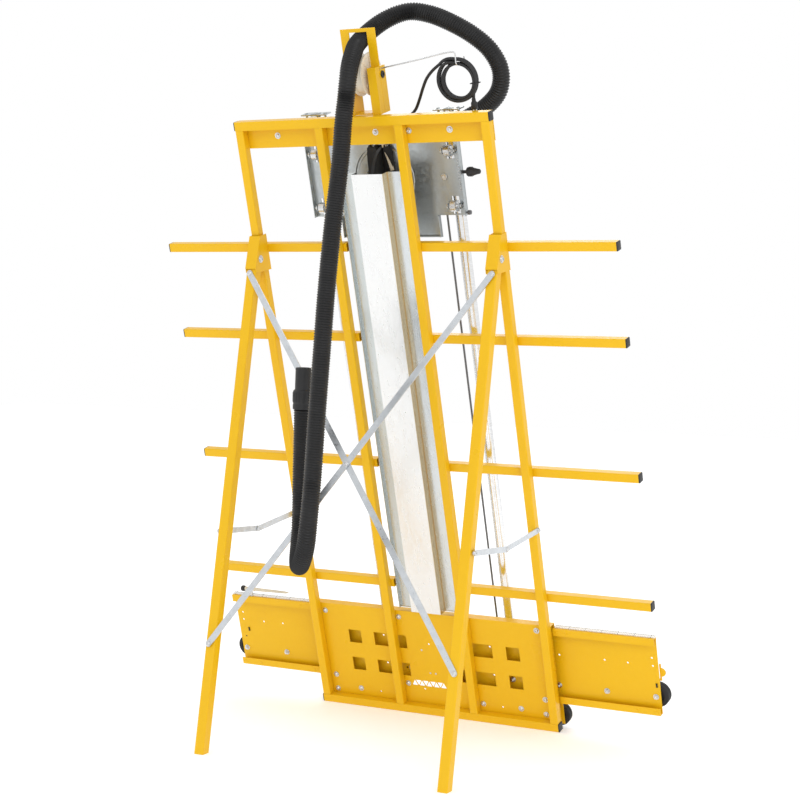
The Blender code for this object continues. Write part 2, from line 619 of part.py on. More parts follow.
def build_legs(frame, yellow, zinc):
    stand = empty("stand_pivot", (0, LEG_PIVOT_Y, LEG_PIVOT_Z), frame)
    shift = Matrix.Translation((0, -LEG_PIVOT_Y, -LEG_PIVOT_Z))
    for side, word in ((-1, "left"), (1, "right")):
        bm = leg_tube(side)
        bm.transform(shift)
        piece(f"leg_{word}", bm, yellow, stand)
    offset = LEG_TUBE / 2 + GAP
    ends = (("brace_a", 1, offset), ("brace_b", -1, offset + BRACE_THICK + GAP))
    for name, top_side, out in ends:
        a = Vector((top_side * OUTER_UPRIGHT_X, BRACE_HIGH))
        b = Vector((-top_side * OUTER_UPRIGHT_X, BRACE_LOW))
        run = b - a
        length = run.length
        arc = [
            (BRACE_WIDTH / 2 * math.cos(t), BRACE_WIDTH / 2 * math.sin(t))
            for t in (math.pi * (0.5 + k / 6) for k in range(7))
        ]
        outline = arc + [(length - p, -q) for p, q in arc]
        direction = run / length
        down_y, down_z = math.sin(LEG_ANGLE), -math.cos(LEG_ANGLE)
        along = (direction.x, direction.y * down_y, direction.y * down_z)
        across = (-direction.y, direction.x * down_y, direction.x * down_z)
        start = (a.x, *along_leg(BRACE_HIGH, out))
        matrix = axes(start, along, across)
        facing = Vector(along).cross(Vector(across))
        bm = plate([outline], BRACE_THICK if facing.y > 0 else -BRACE_THICK, matrix)
        bm.transform(shift)
        piece(name, bm, zinc, stand)
    return stand


def stay_link(start, end, length, x0):
    """Flat link with round ends from start towards end, as (y, z) points, in the plane at x0."""
    direction = Vector((end[0] - start[0], end[1] - start[1])).normalized()
    half = STAY_WIDTH / 2
    arc = [(half * math.cos(t), half * math.sin(t)) for t in (math.pi * (0.5 + k / 6) for k in range(7))]
    outline = arc + [(length - p, -q) for p, q in arc]
    along = (0, direction.x, direction.y)
    across = (0, -direction.y, direction.x)
    return plate([outline], STAY_THICK, axes((x0, start[0], start[1]), along, across))


def stay_middle():
    """The stay's middle pivot when the stand is open, just below the line between its end pivots."""
    a = Vector((STAY_UPRIGHT_Y, STAY_UPRIGHT_Z))
    b = Vector(along_leg(STAY_LEG))
    gap = b - a
    reach = min(gap.length, STAY_FRONT_LENGTH + STAY_REAR_LENGTH - 1e-5)
    along = (reach ** 2 + STAY_FRONT_LENGTH ** 2 - STAY_REAR_LENGTH ** 2) / (2 * reach)
    drop = math.sqrt(max(STAY_FRONT_LENGTH ** 2 - along ** 2, 0))
    unit = gap.normalized()
    return a + unit * along + Vector((unit.y, -unit.x)) * drop


def build_stays(frame, stand, zinc):
    middle = stay_middle()
    upright = (STAY_UPRIGHT_Y, STAY_UPRIGHT_Z)
    leg = along_leg(STAY_LEG)
    for side, word in ((-1, "left"), (1, "right")):
        face = FRAME_HALF_WIDTH + GAP
        further = face + STAY_THICK + GAP
        x_front = face if side > 0 else -face - STAY_THICK
        x_rear = further if side > 0 else -further - STAY_THICK
        front = stay_link(upright, middle, STAY_FRONT_LENGTH, x_front)
        piece(f"stay_front_{word}", front, zinc, frame, pivot=(0, *upright))
        rear = stay_link(leg, middle, STAY_REAR_LENGTH, x_rear)
        rear.transform(Matrix.Translation((0, -LEG_PIVOT_Y, -LEG_PIVOT_Z)))
        piece(f"stay_rear_{word}", rear, zinc, stand, pivot=(0, leg[0] - LEG_PIVOT_Y, leg[1] - LEG_PIVOT_Z))


# ---- rollers and wheels ---------------------------------------------------------------------------------------------
def roller_profile(radius, width, bore, edge=0.003):
    return [
        (bore, 0), (radius - edge, 0), (radius, edge), (radius, width - edge), (radius - edge, width), (bore, width),
    ]


def build_rollers(frame, black):
    front = FRONT_PLANE_Y - WHEEL_STANDOFF
    for side, word in ((-1, "left"), (1, "right")):
        for number, x in enumerate(ROLLER_XS, 1):
            centre = (side * x, front - ROLLER_WIDTH, ROLLER_Z)
            profile = roller_profile(ROLLER_R, ROLLER_WIDTH, ROLLER_BORE_R)
            bm = turned(profile, 24, axes(centre, *ALONG_Y))
            piece(f"sheet_roller_{word}_{number}", bm, black, frame, pivot=centre, smooth=True)
        centre = (side * CASTER_X, front - CASTER_WIDTH, CASTER_Z)
        bm = turned(roller_profile(CASTER_R, CASTER_WIDTH, ROLLER_BORE_R), 24, axes(centre, *ALONG_Y))
        piece(f"transport_wheel_{word}", bm, black, frame, pivot=centre, smooth=True)


# ---- the carriage ---------------------------------------------------------------------------------------------------
def carriage_outline():
    """(z, x) outline: a wide band for the guide wheels with a narrower apron under it."""
    top = CARRIAGE_Z + CARRIAGE_HALF_HEIGHT
    shoulder = CARRIAGE_Z - CARRIAGE_HALF_HEIGHT
    half = [
        (top, CARRIAGE_HALF_WIDTH), (shoulder, CARRIAGE_HALF_WIDTH), (shoulder, APRON_HALF_WIDTH),
        (APRON_BOTTOM, APRON_HALF_WIDTH),
    ]
    return half + [(z, -x) for z, x in reversed(half)]


def cross_hole(x, z):
    """Cross-shaped hole that a guide wheel and its pin sit in."""
    tall, wide, arm, pin = 0.025, 0.012, 0.021, 0.010
    quarter = [(tall, wide), (pin, wide), (pin, arm)]
    points = quarter + [(-a, b) for a, b in reversed(quarter)]
    points += [(-a, -b) for a, b in quarter] + [(a, -b) for a, b in reversed(quarter)]
    return [(z + a, x + b) for a, b in points]


def build_carriage(frame, zinc, steel):
    slide = empty("carriage_slide", (0, CARRIAGE_BACK_Y, CARRIAGE_Z), frame)
    shift = Matrix.Translation((0, -CARRIAGE_BACK_Y, -CARRIAGE_Z))
    loops = [carriage_outline(), circle((CARRIAGE_Z, 0), TURNTABLE_HOLE_R, 48)]
    spots = [(sx * GUIDE_X, CARRIAGE_Z + sz * WHEEL_OFFSET_Z) for sx in (-1, 1) for sz in (-1, 1)]
    loops += [cross_hole(x, z) for x, z in spots]
    bm = plate(loops, CARRIAGE_THICK, axes((0, CARRIAGE_BACK_Y - CARRIAGE_THICK, 0), *ALONG_Y))
    bm.transform(shift)
    body = piece("carriage_plate", bm, zinc, slide)

    stub = cylinder(PORT_R, CARRIAGE_BACK_Y - 0.001 - PORT_Y + PORT_R, 20,
                    axes((PORT_X, PORT_Y - PORT_R, PORT_Z), *ALONG_Y))
    tilt = math.radians(27)
    outward = Vector((-math.cos(tilt), 0, math.sin(tilt)))
    across = Vector((0, 1, 0))
    mouth = plate([circle((0, 0), PORT_R, 20)], 0.060,
                  axes((PORT_X, PORT_Y, PORT_Z), across, outward.cross(across)))
    bore = plate([circle((0, 0), PORT_R - PORT_WALL, 20)], 0.070,
                 axes((PORT_X, PORT_Y, PORT_Z), across, outward.cross(across)))
    for tool in (stub, mouth, bore):
        tool.transform(shift)
    combine(body, [stub, mouth], "UNION")
    combine(body, [bore], "DIFFERENCE")

    wheel_y = GUIDE_Y + GUIDE_R + WHEEL_R + GAP
    words = {(-1, 1): "upper_left", (-1, -1): "lower_left", (1, 1): "upper_right", (1, -1): "lower_right"}
    for (sx, sz), word in words.items():
        centre = Vector((sx * GUIDE_X - WHEEL_WIDTH / 2, wheel_y, CARRIAGE_Z + sz * WHEEL_OFFSET_Z))
        profile = roller_profile(WHEEL_R, WHEEL_WIDTH, 0.004, 0.001)
        bm = turned(profile, 20, axes(centre, *ALONG_X))
        bm.transform(shift)
        piece(f"guide_wheel_{word}", bm, steel, slide, pivot=shift @ centre, smooth=True)
    return slide


def build_lock_knob(slide, black):
    """Knob on a stud at the carriage's edge."""
    start = -CARRIAGE_HALF_WIDTH - GAP
    profile = [
        (0.0010, 0), (0.0048, 0), (0.0048, 0.012), (0.0125, 0.014), (0.0125, 0.028), (0.0070, 0.046), (0.0030, 0.052),
        (0.0010, 0.052),
    ]
    centre = Vector((start, -0.0015, 0.0145))
    matrix = axes(centre, (0, 0, 1), (0, 1, 0))
    piece("lock_knob", turned(profile, 16, matrix), black, slide, pivot=centre, smooth=True)


def build_saw(slide, zinc, black, steel, dark):
    """Turntable with the saw on it. Its axes are centred on the turntable, with y = 0 at the carriage's rear face."""
    turntable = empty("turntable_axis", (0, 0, 0), slide)
    back = CARRIAGE_BACK_Y
    front = SHOE_Y - back
    window = rectangle(-0.0965, 0.0965, -0.035, 0.045)
    disc = plate([circle((0, 0), TURNTABLE_R, 48), window], TURNTABLE_THICK, axes((0, front, 0), *ALONG_Y))
    piece("turntable", disc, zinc, turntable)

    blade_y = BLADE_Y - back
    sides = 36
    edge_y = front - GAP
    reach = edge_y - blade_y
    start = math.acos(reach / GUARD_R)
    arc = []
    for k in range(sides + 1):
        angle = start + (2 * math.pi - 2 * start) * k / sides
        arc.append((blade_y + GUARD_R * math.cos(angle), GUARD_R * math.sin(angle)))
    shell = plate([arc], 2 * GUARD_HALF_WIDTH, axes((-GUARD_HALF_WIDTH, 0, 0), *ALONG_X))
    saw = piece("saw_body", shell, black, turntable)
    motor_y = MOTOR_Y - back
    motor = cylinder(MOTOR_R, MOTOR_END_X - GUARD_HALF_WIDTH / 2, 32,
                     axes((GUARD_HALF_WIDTH / 2, motor_y, 0), *ALONG_X))
    handle_front = HANDLE_FRONT_Y - back
    root_y = blade_y - GUARD_R + 0.030
    outline = [
        (root_y, -0.085), (handle_front + 0.018, -0.052), (handle_front, -0.030), (handle_front, 0.050),
        (handle_front + 0.018, 0.072), (root_y, 0.060),
    ]
    hole = [
        (root_y - 0.032, -0.030), (handle_front + 0.034, -0.026), (handle_front + 0.026, -0.014),
        (handle_front + 0.026, 0.036), (handle_front + 0.036, 0.046), (root_y - 0.032, 0.036),
    ]
    handle = plate([outline, hole], 0.030, axes((GUARD_HALF_WIDTH - 0.034, 0, 0), *ALONG_X))
    arbor = cylinder(0.007, GUARD_HALF_WIDTH - 0.002, 16, axes((BLADE_THICK, blade_y, 0), *ALONG_X))
    combine(saw, [motor, handle], "UNION")
    cavity = plate([circle((blade_y, 0), GUARD_CAVITY_R, 48)], 2 * GUARD_SLOT_HALF,
                   axes((-GUARD_SLOT_HALF, 0, 0), *ALONG_X))
    grip = handle_front + 0.026
    room = TRIGGER_TRAVEL + 0.0035
    pocket = box(-0.0106, 0.0046, grip - room, grip + 0.001, 0.0074, 0.0326)
    combine(saw, [cavity, pocket], "DIFFERENCE")
    combine(saw, [arbor], "UNION")

    ring = [
        (BLADE_BORE_R, -BLADE_THICK / 2), (BLADE_R, -BLADE_THICK / 2), (BLADE_R, BLADE_THICK / 2),
        (BLADE_BORE_R, BLADE_THICK / 2),
    ]
    centre = Vector((0, blade_y, 0))
    piece("saw_blade", turned(ring, 48, axes(centre, *ALONG_X)), steel, turntable, pivot=centre)

    span = math.radians(84)
    arc_points = [span * (2 * k / 20 - 1) for k in range(21)]
    rim = [(blade_y + LOWER_GUARD_R * math.cos(t), LOWER_GUARD_R * math.sin(t)) for t in arc_points]
    inner = [(blade_y + 0.012 * math.cos(t), 0.012 * math.sin(t)) for t in reversed(arc_points)]
    side_plate = plate([rim + inner], 0.0015, axes((-0.0050, 0, 0), *ALONG_X))
    inside = [
        (blade_y + (LOWER_GUARD_R - 0.0018) * math.cos(t), (LOWER_GUARD_R - 0.0018) * math.sin(t))
        for t in reversed(arc_points)
    ]
    rim_band = plate([rim + inside], 0.0095, axes((-0.0045, 0, 0), *ALONG_X))
    lower = piece("lower_guard", side_plate, dark, turntable, pivot=centre)
    combine(lower, [rim_band], "UNION")

    trigger_y = grip - 0.0025
    trigger = box(-0.010, 0.004, trigger_y, trigger_y + 0.0135, 0.008, 0.032)
    piece("trigger", trigger, dark, turntable, pivot=(0, trigger_y, 0.020))
    return turntable


# ---- reel, cable, cords ---------------------------------------------------------------------------------------------
def build_reel(frame, tan, steel):
    half = REEL_WIDTH / 2
    lip = 0.003
    ring = [
        (REEL_AXLE_R + 0.0005, -half), (REEL_R, -half), (REEL_R, lip - half), (REEL_DRUM_R, lip - half),
        (REEL_DRUM_R, half - lip), (REEL_R, half - lip), (REEL_R, half), (REEL_AXLE_R + 0.0005, half),
    ]
    centre = Vector((REEL_X, REEL_Y, REEL_Z))
    piece("counterbalance_reel", turned(ring, 36, axes(centre, *ALONG_X)), tan, frame, pivot=centre, smooth=True)
    y = REEL_Y - REEL_DRUM_R - CABLE_R - GAP
    low = CARRIAGE_Z + CARRIAGE_HALF_HEIGHT + GAP
    points = [(REEL_X, y, REEL_Z), (REEL_X, y, (REEL_Z + low) / 2), (REEL_X, y, low)]
    cord("counterbalance_cable", points, CABLE_R, 0.05, 2, steel, frame)


def lean(x, y, z):
    """A point of the leaning frame in upright axes."""
    return (x, y * math.cos(LEAN) + z * math.sin(LEAN), z * math.cos(LEAN) - y * math.sin(LEAN))


def hose_route():
    """Route of the vacuum hose in upright axes, from the dust port over the header and down behind the stand."""
    tilt = math.radians(27)
    port = Vector((PORT_X - 0.060 * math.cos(tilt), PORT_Y, PORT_Z + 0.060 * math.sin(tilt)))
    out = Vector((-math.cos(tilt), 0, math.sin(tilt)))
    first = [port + out * GAP, port + out * 0.04, port + out * 0.08]
    high = [
        (-0.294, -0.200, 1.806), (-0.342, -0.200, 1.850), (-0.353, -0.200, 1.907), (-0.328, -0.200, 1.962),
        (-0.280, -0.200, 2.006), (-0.220, -0.200, 2.042), (-0.160, -0.200, 2.068), (-0.101, -0.187, 2.081),
        (-0.046, -0.140, 2.066), (-0.0070, -0.052, 2.0228), (-0.016, -0.005, 2.003), (-0.024, 0.035, 1.976),
        (-0.025, 0.058, 1.940), (-0.017, 0.066, 1.895),
    ]
    hanging = [
        (-0.0145, 0.575, 1.745), (-0.0150, 0.592, 1.640), (-0.0120, 0.625, 1.480), (-0.017, 0.670, 1.290),
        (-0.024, 0.706, 1.130), (-0.027, 0.736, 0.970), (-0.032, 0.768, 0.800), (-0.033, 0.788, 0.700),
        (-0.016, 0.778, 0.624), (0.024, 0.740, 0.568), (0.068, 0.680, 0.568), (0.094, 0.630, 0.624),
        (0.102, 0.612, 0.700), (0.103, 0.606, 0.800), (0.101, 0.604, 0.900),
    ]
    cuff_end = (0.099, 0.604, 0.972)
    return [lean(*p) for p in first + high] + hanging + [cuff_end]


def cord_route():
    """Route of the power cord in the leaning frame, from its gland on the carriage up to the wound coil."""
    return [
        (-0.060, -0.1295, 1.7380), (-0.062, -0.1295, 1.755), (-0.070, -0.127, 1.775), (-0.088, -0.120, 1.795),
        (-0.112, -0.108, 1.811), (-0.137, -0.094, 1.829), (-0.158, -0.084, 1.858), (-0.176, -0.077, 1.888),
        (-0.194, -0.071, 1.914), (-0.217, -0.066, 1.935), (-0.2435, -0.064, 1.9535),
    ]


def build_cords(root, frame, rubber):
    route = hose_route()
    cord("vacuum_hose", route, HOSE_R, 0.05, 3, rubber, root, HOSE_EASE)
    foot = Vector(route[-1])
    axis = (foot - Vector(route[-2])).normalized()
    across = axis.cross(Vector((0, 1, 0))).normalized()
    sleeve = 0.050
    profile = [
        (CUFF_BORE_R, 0), (CUFF_R, 0), (CUFF_R, sleeve), (CUFF_NOZZLE_R, sleeve + 0.004),
        (CUFF_NOZZLE_R, CUFF_LENGTH), (CUFF_BORE_R, CUFF_LENGTH),
    ]
    matrix = axes(foot + axis * GAP, across, axis.cross(across))
    piece("hose_cuff", turned(profile, 24, matrix), rubber, root, smooth=True)
    cord("power_cord", cord_route(), CORD_R, 0.012, 2, rubber, frame)
    ring = [
        (COIL_INNER_R, -COIL_HALF_WIDTH), (COIL_R, -COIL_HALF_WIDTH), (COIL_R, COIL_HALF_WIDTH),
        (COIL_INNER_R, COIL_HALF_WIDTH),
    ]
    centre = Vector(COIL_CENTRE)
    piece("cord_coil", turned(ring, 32, axes(centre, *ALONG_Y)), rubber, frame, smooth=True)
    plug = plate([rounded_rectangle(0.009, 0.007, 0.004, 3)], 0.028, Matrix.Identity(4))
    plug.transform(Matrix.Translation((-0.3310, -0.064, 1.8268)))
    piece("power_plug", plug, rubber, frame)


# ---- put together ---------------------------------------------------------------------------------------------------
FREE_CORDS = ("vacuum_hose", "hose_cuff", "power_cord", "cord_coil", "power_plug")


def stand_on_origin(root):
    """Move the whole machine so that its box, without the free cords, is centred over the origin on the floor."""
    bpy.context.view_layer.update()
    graph = bpy.context.evaluated_depsgraph_get()
    low = np.full(3, np.inf)
    high = np.full(3, -np.inf)
    for item in bpy.context.scene.objects:
        if item.type == "EMPTY" or item.hide_render or item.name in FREE_CORDS:
            continue
        shape = item.evaluated_get(graph)
        mesh = shape.to_mesh()
        flat = np.empty(len(mesh.vertices) * 3)
        mesh.vertices.foreach_get("co", flat)
        matrix = np.array(shape.matrix_world)
        places = flat.reshape(-1, 3) @ matrix[:3, :3].T + matrix[:3, 3]
        low = np.minimum(low, places.min(axis=0))
        high = np.maximum(high, places.max(axis=0))
        shape.to_mesh_clear()
    root.location = (-(low[0] + high[0]) / 2, -(low[1] + high[1]) / 2, -low[2])
    bpy.context.view_layer.update()


def main():
    clear_scene()
    yellow = material("yellow_paint", (0.80, 0.46, 0.02), 0.35, 0.0)
    zinc = material("zinc_sheet", (0.62, 0.64, 0.66), 0.35, 0.9)
    chrome = material("chrome_tube", (0.80, 0.80, 0.80), 0.12, 1.0)
    steel = material("bright_steel", (0.60, 0.60, 0.60), 0.25, 1.0)
    black = material("black_plastic", (0.02, 0.02, 0.02), 0.50, 0.0)
    dark = material("dark_metal", (0.10, 0.10, 0.11), 0.40, 0.7)
    tan = material("reel_casing", (0.62, 0.57, 0.45), 0.45, 0.6)
    rubber = material("black_rubber", (0.025, 0.025, 0.027), 0.65, 0.0)

    root = empty("machine", (0, 0, 0))
    frame = empty("leaning_frame", (0, 0, 0), root, (-LEAN, 0, 0))
    build_header(frame, yellow)
    build_uprights(frame, yellow)
    build_rail_and_bars(frame, yellow)
    build_centre_box(frame, yellow)
    build_wings(frame, yellow)
    build_dust_channel(frame, zinc)
    build_guide_tubes(frame, chrome)
    build_gantry(frame, yellow)
    build_hook_arm(frame, steel)
    stand = build_legs(frame, yellow, zinc)
    build_stays(frame, stand, zinc)
    build_rollers(frame, black)
    slide = build_carriage(frame, zinc, steel)
    build_lock_knob(slide, black)
    build_saw(slide, zinc, black, steel, dark)
    build_reel(frame, tan, steel)
    build_cords(root, frame, rubber)
    stand_on_origin(root)


main()
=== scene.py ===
"""Looks of the vertical panel saw: its cords, detailed parts and finishes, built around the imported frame."""

import json
import math

import bpy
import numpy as np
from mathutils import Matrix, Vector


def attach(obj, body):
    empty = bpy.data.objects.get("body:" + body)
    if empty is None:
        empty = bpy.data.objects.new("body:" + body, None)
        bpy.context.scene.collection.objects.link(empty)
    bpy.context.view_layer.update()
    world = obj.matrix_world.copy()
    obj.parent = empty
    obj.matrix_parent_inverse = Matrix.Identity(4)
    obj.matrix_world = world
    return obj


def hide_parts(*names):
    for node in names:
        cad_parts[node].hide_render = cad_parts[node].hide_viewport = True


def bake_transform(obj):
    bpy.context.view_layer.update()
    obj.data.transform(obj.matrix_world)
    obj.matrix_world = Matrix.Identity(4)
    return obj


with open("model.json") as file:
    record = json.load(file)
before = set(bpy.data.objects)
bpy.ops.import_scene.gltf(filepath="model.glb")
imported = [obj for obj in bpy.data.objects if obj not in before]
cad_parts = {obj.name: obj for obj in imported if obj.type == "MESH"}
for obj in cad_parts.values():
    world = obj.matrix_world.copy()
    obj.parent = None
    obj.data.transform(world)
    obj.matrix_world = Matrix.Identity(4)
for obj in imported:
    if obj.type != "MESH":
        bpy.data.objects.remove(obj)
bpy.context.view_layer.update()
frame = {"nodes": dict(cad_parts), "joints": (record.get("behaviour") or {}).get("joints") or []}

# ---- sizes, in metres ----
LEAN = math.radians(15.33)
TUBE = 0.0254
TUBE_ROUND = 0.0025
LEG_PIVOT = (0.022, 1.437)         # (out of the rear face, up the uprights)
LEG_ANGLE = math.radians(27.15)
OUTER_UPRIGHT_X = 0.3873
STAY_UPRIGHT = (-0.0127, 0.6361)   # a stay's pivot on its upright
STAY_LEG = 0.7876                  # and on its leg, from the leg's pivot
STAY_LINKS = (0.2110, 0.1977)      # front and rear, between pivots
BRACE_ENDS = (0.045, 1.105)        # along the leg
BRACE_CROSS = 0.575
BRACE_FACES = (0.0183, 0.0216)     # outer faces of the two braces, from the leg's middle
HALF_WIDTH = 0.400
FRAME_HEIGHT = 1.830               # along the lean
BAR_REACH = 0.715                  # half the width over the sheet support bars
CAP_SINK = 0.0002                  # end caps start this far inside the tubes' ends
COVER_BACK_Y = -0.0257             # rear face of the centre cover and of the header's plate
FRONT_Y = -0.0511                  # plane that the sheet leans on
SKIN = 0.002
ROLLER_XS = (0.096, 0.246, 0.396, 0.546, 0.696)
ROLLER_Z = 0.130
CASTER_X = 0.380
CASTER_Z = 0.028
GUIDE_X = 0.212
GUIDE_Y = -0.140
GUIDE_R = 0.0159
WHEEL_R = 0.016
GAP = 0.0003
CARRIAGE_Z = 1.631
CARRIAGE_BACK_Y = -0.120
WHEEL_OFFSET_Z = 0.0775
PORT = (-0.115, -0.200, 1.716)
PORT_TILT = math.radians(27)
PORT_REACH = 0.060
BLADE_Y = -0.138
GUARD_R = 0.103
MOTOR_Y = -0.190
HANDLE_X = -0.003
REEL = (-0.0115, -0.066, 1.936)
REEL_DRUM_R = 0.052
HOSE_R = 0.025
HOSE_EASE = 0.020                  # how far the hose's stiffness evens out its bends
HOSE_PITCH = 0.0070
HOSE_GROOVE = 0.0026
CORD_R = 0.00425
COIL_CENTRE = (-0.290, -0.064, 1.907)
PLUG_TOP = (-0.331, -0.064, 1.8550)
BAR_HEIGHTS = (1.457, 1.191, 0.805, 0.420)

# ---- the leaning frame's place ----
TURN = np.array(Matrix.Rotation(-LEAN, 3, "X"))
pivot = next(j for j in frame["joints"] if j["name"] == "stand_fold")["pos_m"]
ORIGIN = np.array(pivot) - TURN @ np.array((0, *LEG_PIVOT))


def lean(points):
    """Row-frame places of points given across, out of the rear face and up the leaning frame."""
    return np.asarray(points, dtype=float) @ TURN.T + ORIGIN


def upright(points):
    """Row-frame places of points given in upright axes from the same origin as the leaning frame's."""
    return np.asarray(points, dtype=float) + ORIGIN


LEANING = Matrix.Translation(ORIGIN) @ Matrix.Rotation(-LEAN, 4, "X")


def on_leg(distance, offset):
    """(y, z) on a leg: distance down from its pivot, offset out of its rear face."""
    return (
        LEG_PIVOT[0] + distance * math.sin(LEG_ANGLE) + offset * math.cos(LEG_ANGLE),
        LEG_PIVOT[1] - distance * math.cos(LEG_ANGLE) + offset * math.sin(LEG_ANGLE),
    )


# ---- camera, floor and light ----
def look(thing, forward):
    thing.rotation_euler = Vector(forward).to_track_quat("-Z", "Y").to_euler()


def make_camera():
    lens = bpy.data.cameras.new("camera")
    lens.lens = 83.24
    lens.sensor_width = 36
    lens.clip_end = 60
    camera = bpy.data.objects.new("camera", lens)
    bpy.context.scene.collection.objects.link(camera)
    camera.location = upright((-2.567, 4.874, 1.387))
    look(camera, (0.4827, -0.8723, -0.0773))
    bpy.context.scene.camera = camera


def make_light(name, place, target, size, power):
    lamp = bpy.data.lights.new(name, "AREA")
    lamp.size = size
    lamp.energy = power
    light = bpy.data.objects.new(name, lamp)
    bpy.context.scene.collection.objects.link(light)
    light.location = place
    look(light, Vector(target) - Vector(place))


def make_studio():
    world = bpy.data.worlds.new("studio")
    world.use_nodes = True
    sky = world.node_tree.nodes["Background"]
    sky.inputs["Color"].default_value = (1, 1, 1, 1)
    sky.inputs["Strength"].default_value = 1.0
    bpy.context.scene.world = world
    bpy.context.scene.view_settings.view_transform = "Standard"
    make_light("key", (-3.6, 4.2, 4.2), (0, 0, 0.9), 2.2, 60)
    make_light("front", (1.5, -4.5, 3.4), (0, 0, 0.9), 2.6, 40)
    mesh = bpy.data.meshes.new("floor")
    mesh.from_pydata([(-9, -9, 0), (9, -9, 0), (9, 9, 0), (-9, 9, 0)], [], [(0, 1, 2, 3)])
    floor = bpy.data.objects.new("floor", mesh)
    bpy.context.scene.collection.objects.link(floor)
    paint = bpy.data.materials.new("floor_paint")
    paint.use_nodes = True
    shader = paint.node_tree.nodes["Principled BSDF"]
    shader.inputs["Base Color"].default_value = (0.92, 0.92, 0.92, 1)
    shader.inputs["Roughness"].default_value = 0.75
    shader.inputs["Emission Color"].default_value = (1, 1, 1, 1)
    shader.inputs["Emission Strength"].default_value = 0.25
    mesh.materials.append(paint)


# ---- finishes ----
class Finish:
    """A node material read from Object coordinates, built up a layer at a time."""

    def __init__(self, name, colour, roughness, metallic=0.0, **sockets):
        self.material = bpy.data.materials.new(name)
        self.material.use_nodes = True
        self.nodes = self.material.node_tree.nodes
        self.shader = self.nodes["Principled BSDF"]
        self.colour = colour
        self.place = self.nodes.new("ShaderNodeTexCoord").outputs["Object"]
        self.shader.inputs["Base Color"].default_value = (*colour, 1)
        self.shader.inputs["Roughness"].default_value = roughness
        self.shader.inputs["Metallic"].default_value = metallic
        for socket, value in sockets.items():
            self.shader.inputs[socket.replace("_", " ")].default_value = value
        self.height = None
        self.tint = None

    def link(self, a, b):
        self.material.node_tree.links.new(a, b)

    def stretched(self, scale):
        mapping = self.nodes.new("ShaderNodeMapping")
        mapping.inputs["Scale"].default_value = scale
        self.link(self.place, mapping.inputs["Vector"])
        return mapping.outputs["Vector"]

    def noise(self, scale, detail=3.0, stretch=None):
        made = self.nodes.new("ShaderNodeTexNoise")
        made.inputs["Scale"].default_value = scale
        made.inputs["Detail"].default_value = detail
        self.link(self.place if stretch is None else self.stretched(stretch), made.inputs["Vector"])
        return made.outputs["Fac"]

    def cells(self, scale):
        made = self.nodes.new("ShaderNodeTexVoronoi")
        made.inputs["Scale"].default_value = scale
        self.link(self.place, made.inputs["Vector"])
        grey = self.nodes.new("ShaderNodeSeparateColor")
        self.link(made.outputs["Color"], grey.inputs["Color"])
        return grey.outputs["Red"]

    def band(self, axis, centre, half):
        """1 within half of centre along an axis, 0 elsewhere."""
        split = self.nodes.new("ShaderNodeSeparateXYZ")
        self.link(self.place, split.inputs["Vector"])
        near = self.nodes.new("ShaderNodeMath")
        near.operation = "COMPARE"
        near.inputs[1].default_value = centre
        near.inputs[2].default_value = half
        self.link(split.outputs[axis], near.inputs[0])
        return near.outputs[0]

    def spread(self, value, low, high, start=0.3, end=0.7):
        """value remapped from start..end to low..high."""
        made = self.nodes.new("ShaderNodeMapRange")
        made.inputs["From Min"].default_value = start
        made.inputs["From Max"].default_value = end
        made.inputs["To Min"].default_value = low
        made.inputs["To Max"].default_value = high
        self.link(value, made.inputs["Value"])
        return made.outputs["Result"]

    def mottle(self, value, other, low=0.0, high=1.0):
        """Mix the colour so far with another one where value is high."""
        mix = self.nodes.new("ShaderNodeMix")
        mix.data_type = "RGBA"
        self.link(self.spread(value, low, high), mix.inputs["Factor"])
        if self.tint is None:
            mix.inputs["A"].default_value = (*self.colour, 1)
        else:
            self.link(self.tint, mix.inputs["A"])
        mix.inputs["B"].default_value = (*other, 1)
        self.tint = mix.outputs["Result"]
        self.link(self.tint, self.shader.inputs["Base Color"])
        return self

    def polish(self, value, low, high):
        self.link(self.spread(value, low, high), self.shader.inputs["Roughness"])
        return self

    def bump(self, value, distance, strength=1.0):
        made = self.nodes.new("ShaderNodeBump")
        made.inputs["Distance"].default_value = distance
        made.inputs["Strength"].default_value = strength
        self.link(value, made.inputs["Height"])
        if self.height is not None:
            self.link(self.height, made.inputs["Normal"])
        self.height = made.outputs["Normal"]
        self.link(self.height, self.shader.inputs["Normal"])
        return self


def powder_coat():
    paint = Finish("yellow_powder_coat", (0.80, 0.47, 0.006), 0.40, Specular_IOR_Level=0.28)
    paint.mottle(paint.noise(6.0, 4.0), (0.76, 0.43, 0.004), 0.0, 0.6)
    paint.mottle(paint.noise(95.0, 2.0), (0.82, 0.50, 0.008), 0.0, 0.25)
    paint.polish(paint.noise(14.0, 3.0), 0.27, 0.38)
    return paint.bump(paint.noise(420.0, 2.0), 0.00012, 0.35).bump(paint.noise(38.0, 2.0), 0.0004, 0.12).material


def galvanised():
    zinc = Finish("galvanised_sheet", (0.44, 0.475, 0.49), 0.34, 0.88)
    zinc.mottle(zinc.cells(150.0), (0.39, 0.42, 0.435), 0.0, 0.5)
    zinc.mottle(zinc.noise(7.0, 5.0), (0.52, 0.55, 0.55), 0.0, 0.6)
    zinc.polish(zinc.cells(150.0), 0.28, 0.40)
    return zinc.bump(zinc.noise(260.0, 3.0), 0.0001, 0.25).material


# Bands of painted reflection and painted shade on the channel sheet: centre along x, half width, colour and share.
CHANNEL_PAINTED_REFLECTIONS_AND_SHADE = (
    (0.0755, 0.0240, (0.52, 0.56, 0.56), 0.85), (0.0505, 0.0018, (0.60, 0.62, 0.60), 0.8),
    (-0.0755, 0.0240, (0.58, 0.63, 0.66), 0.7), (-0.0505, 0.0018, (0.56, 0.43, 0.22), 0.85),
)


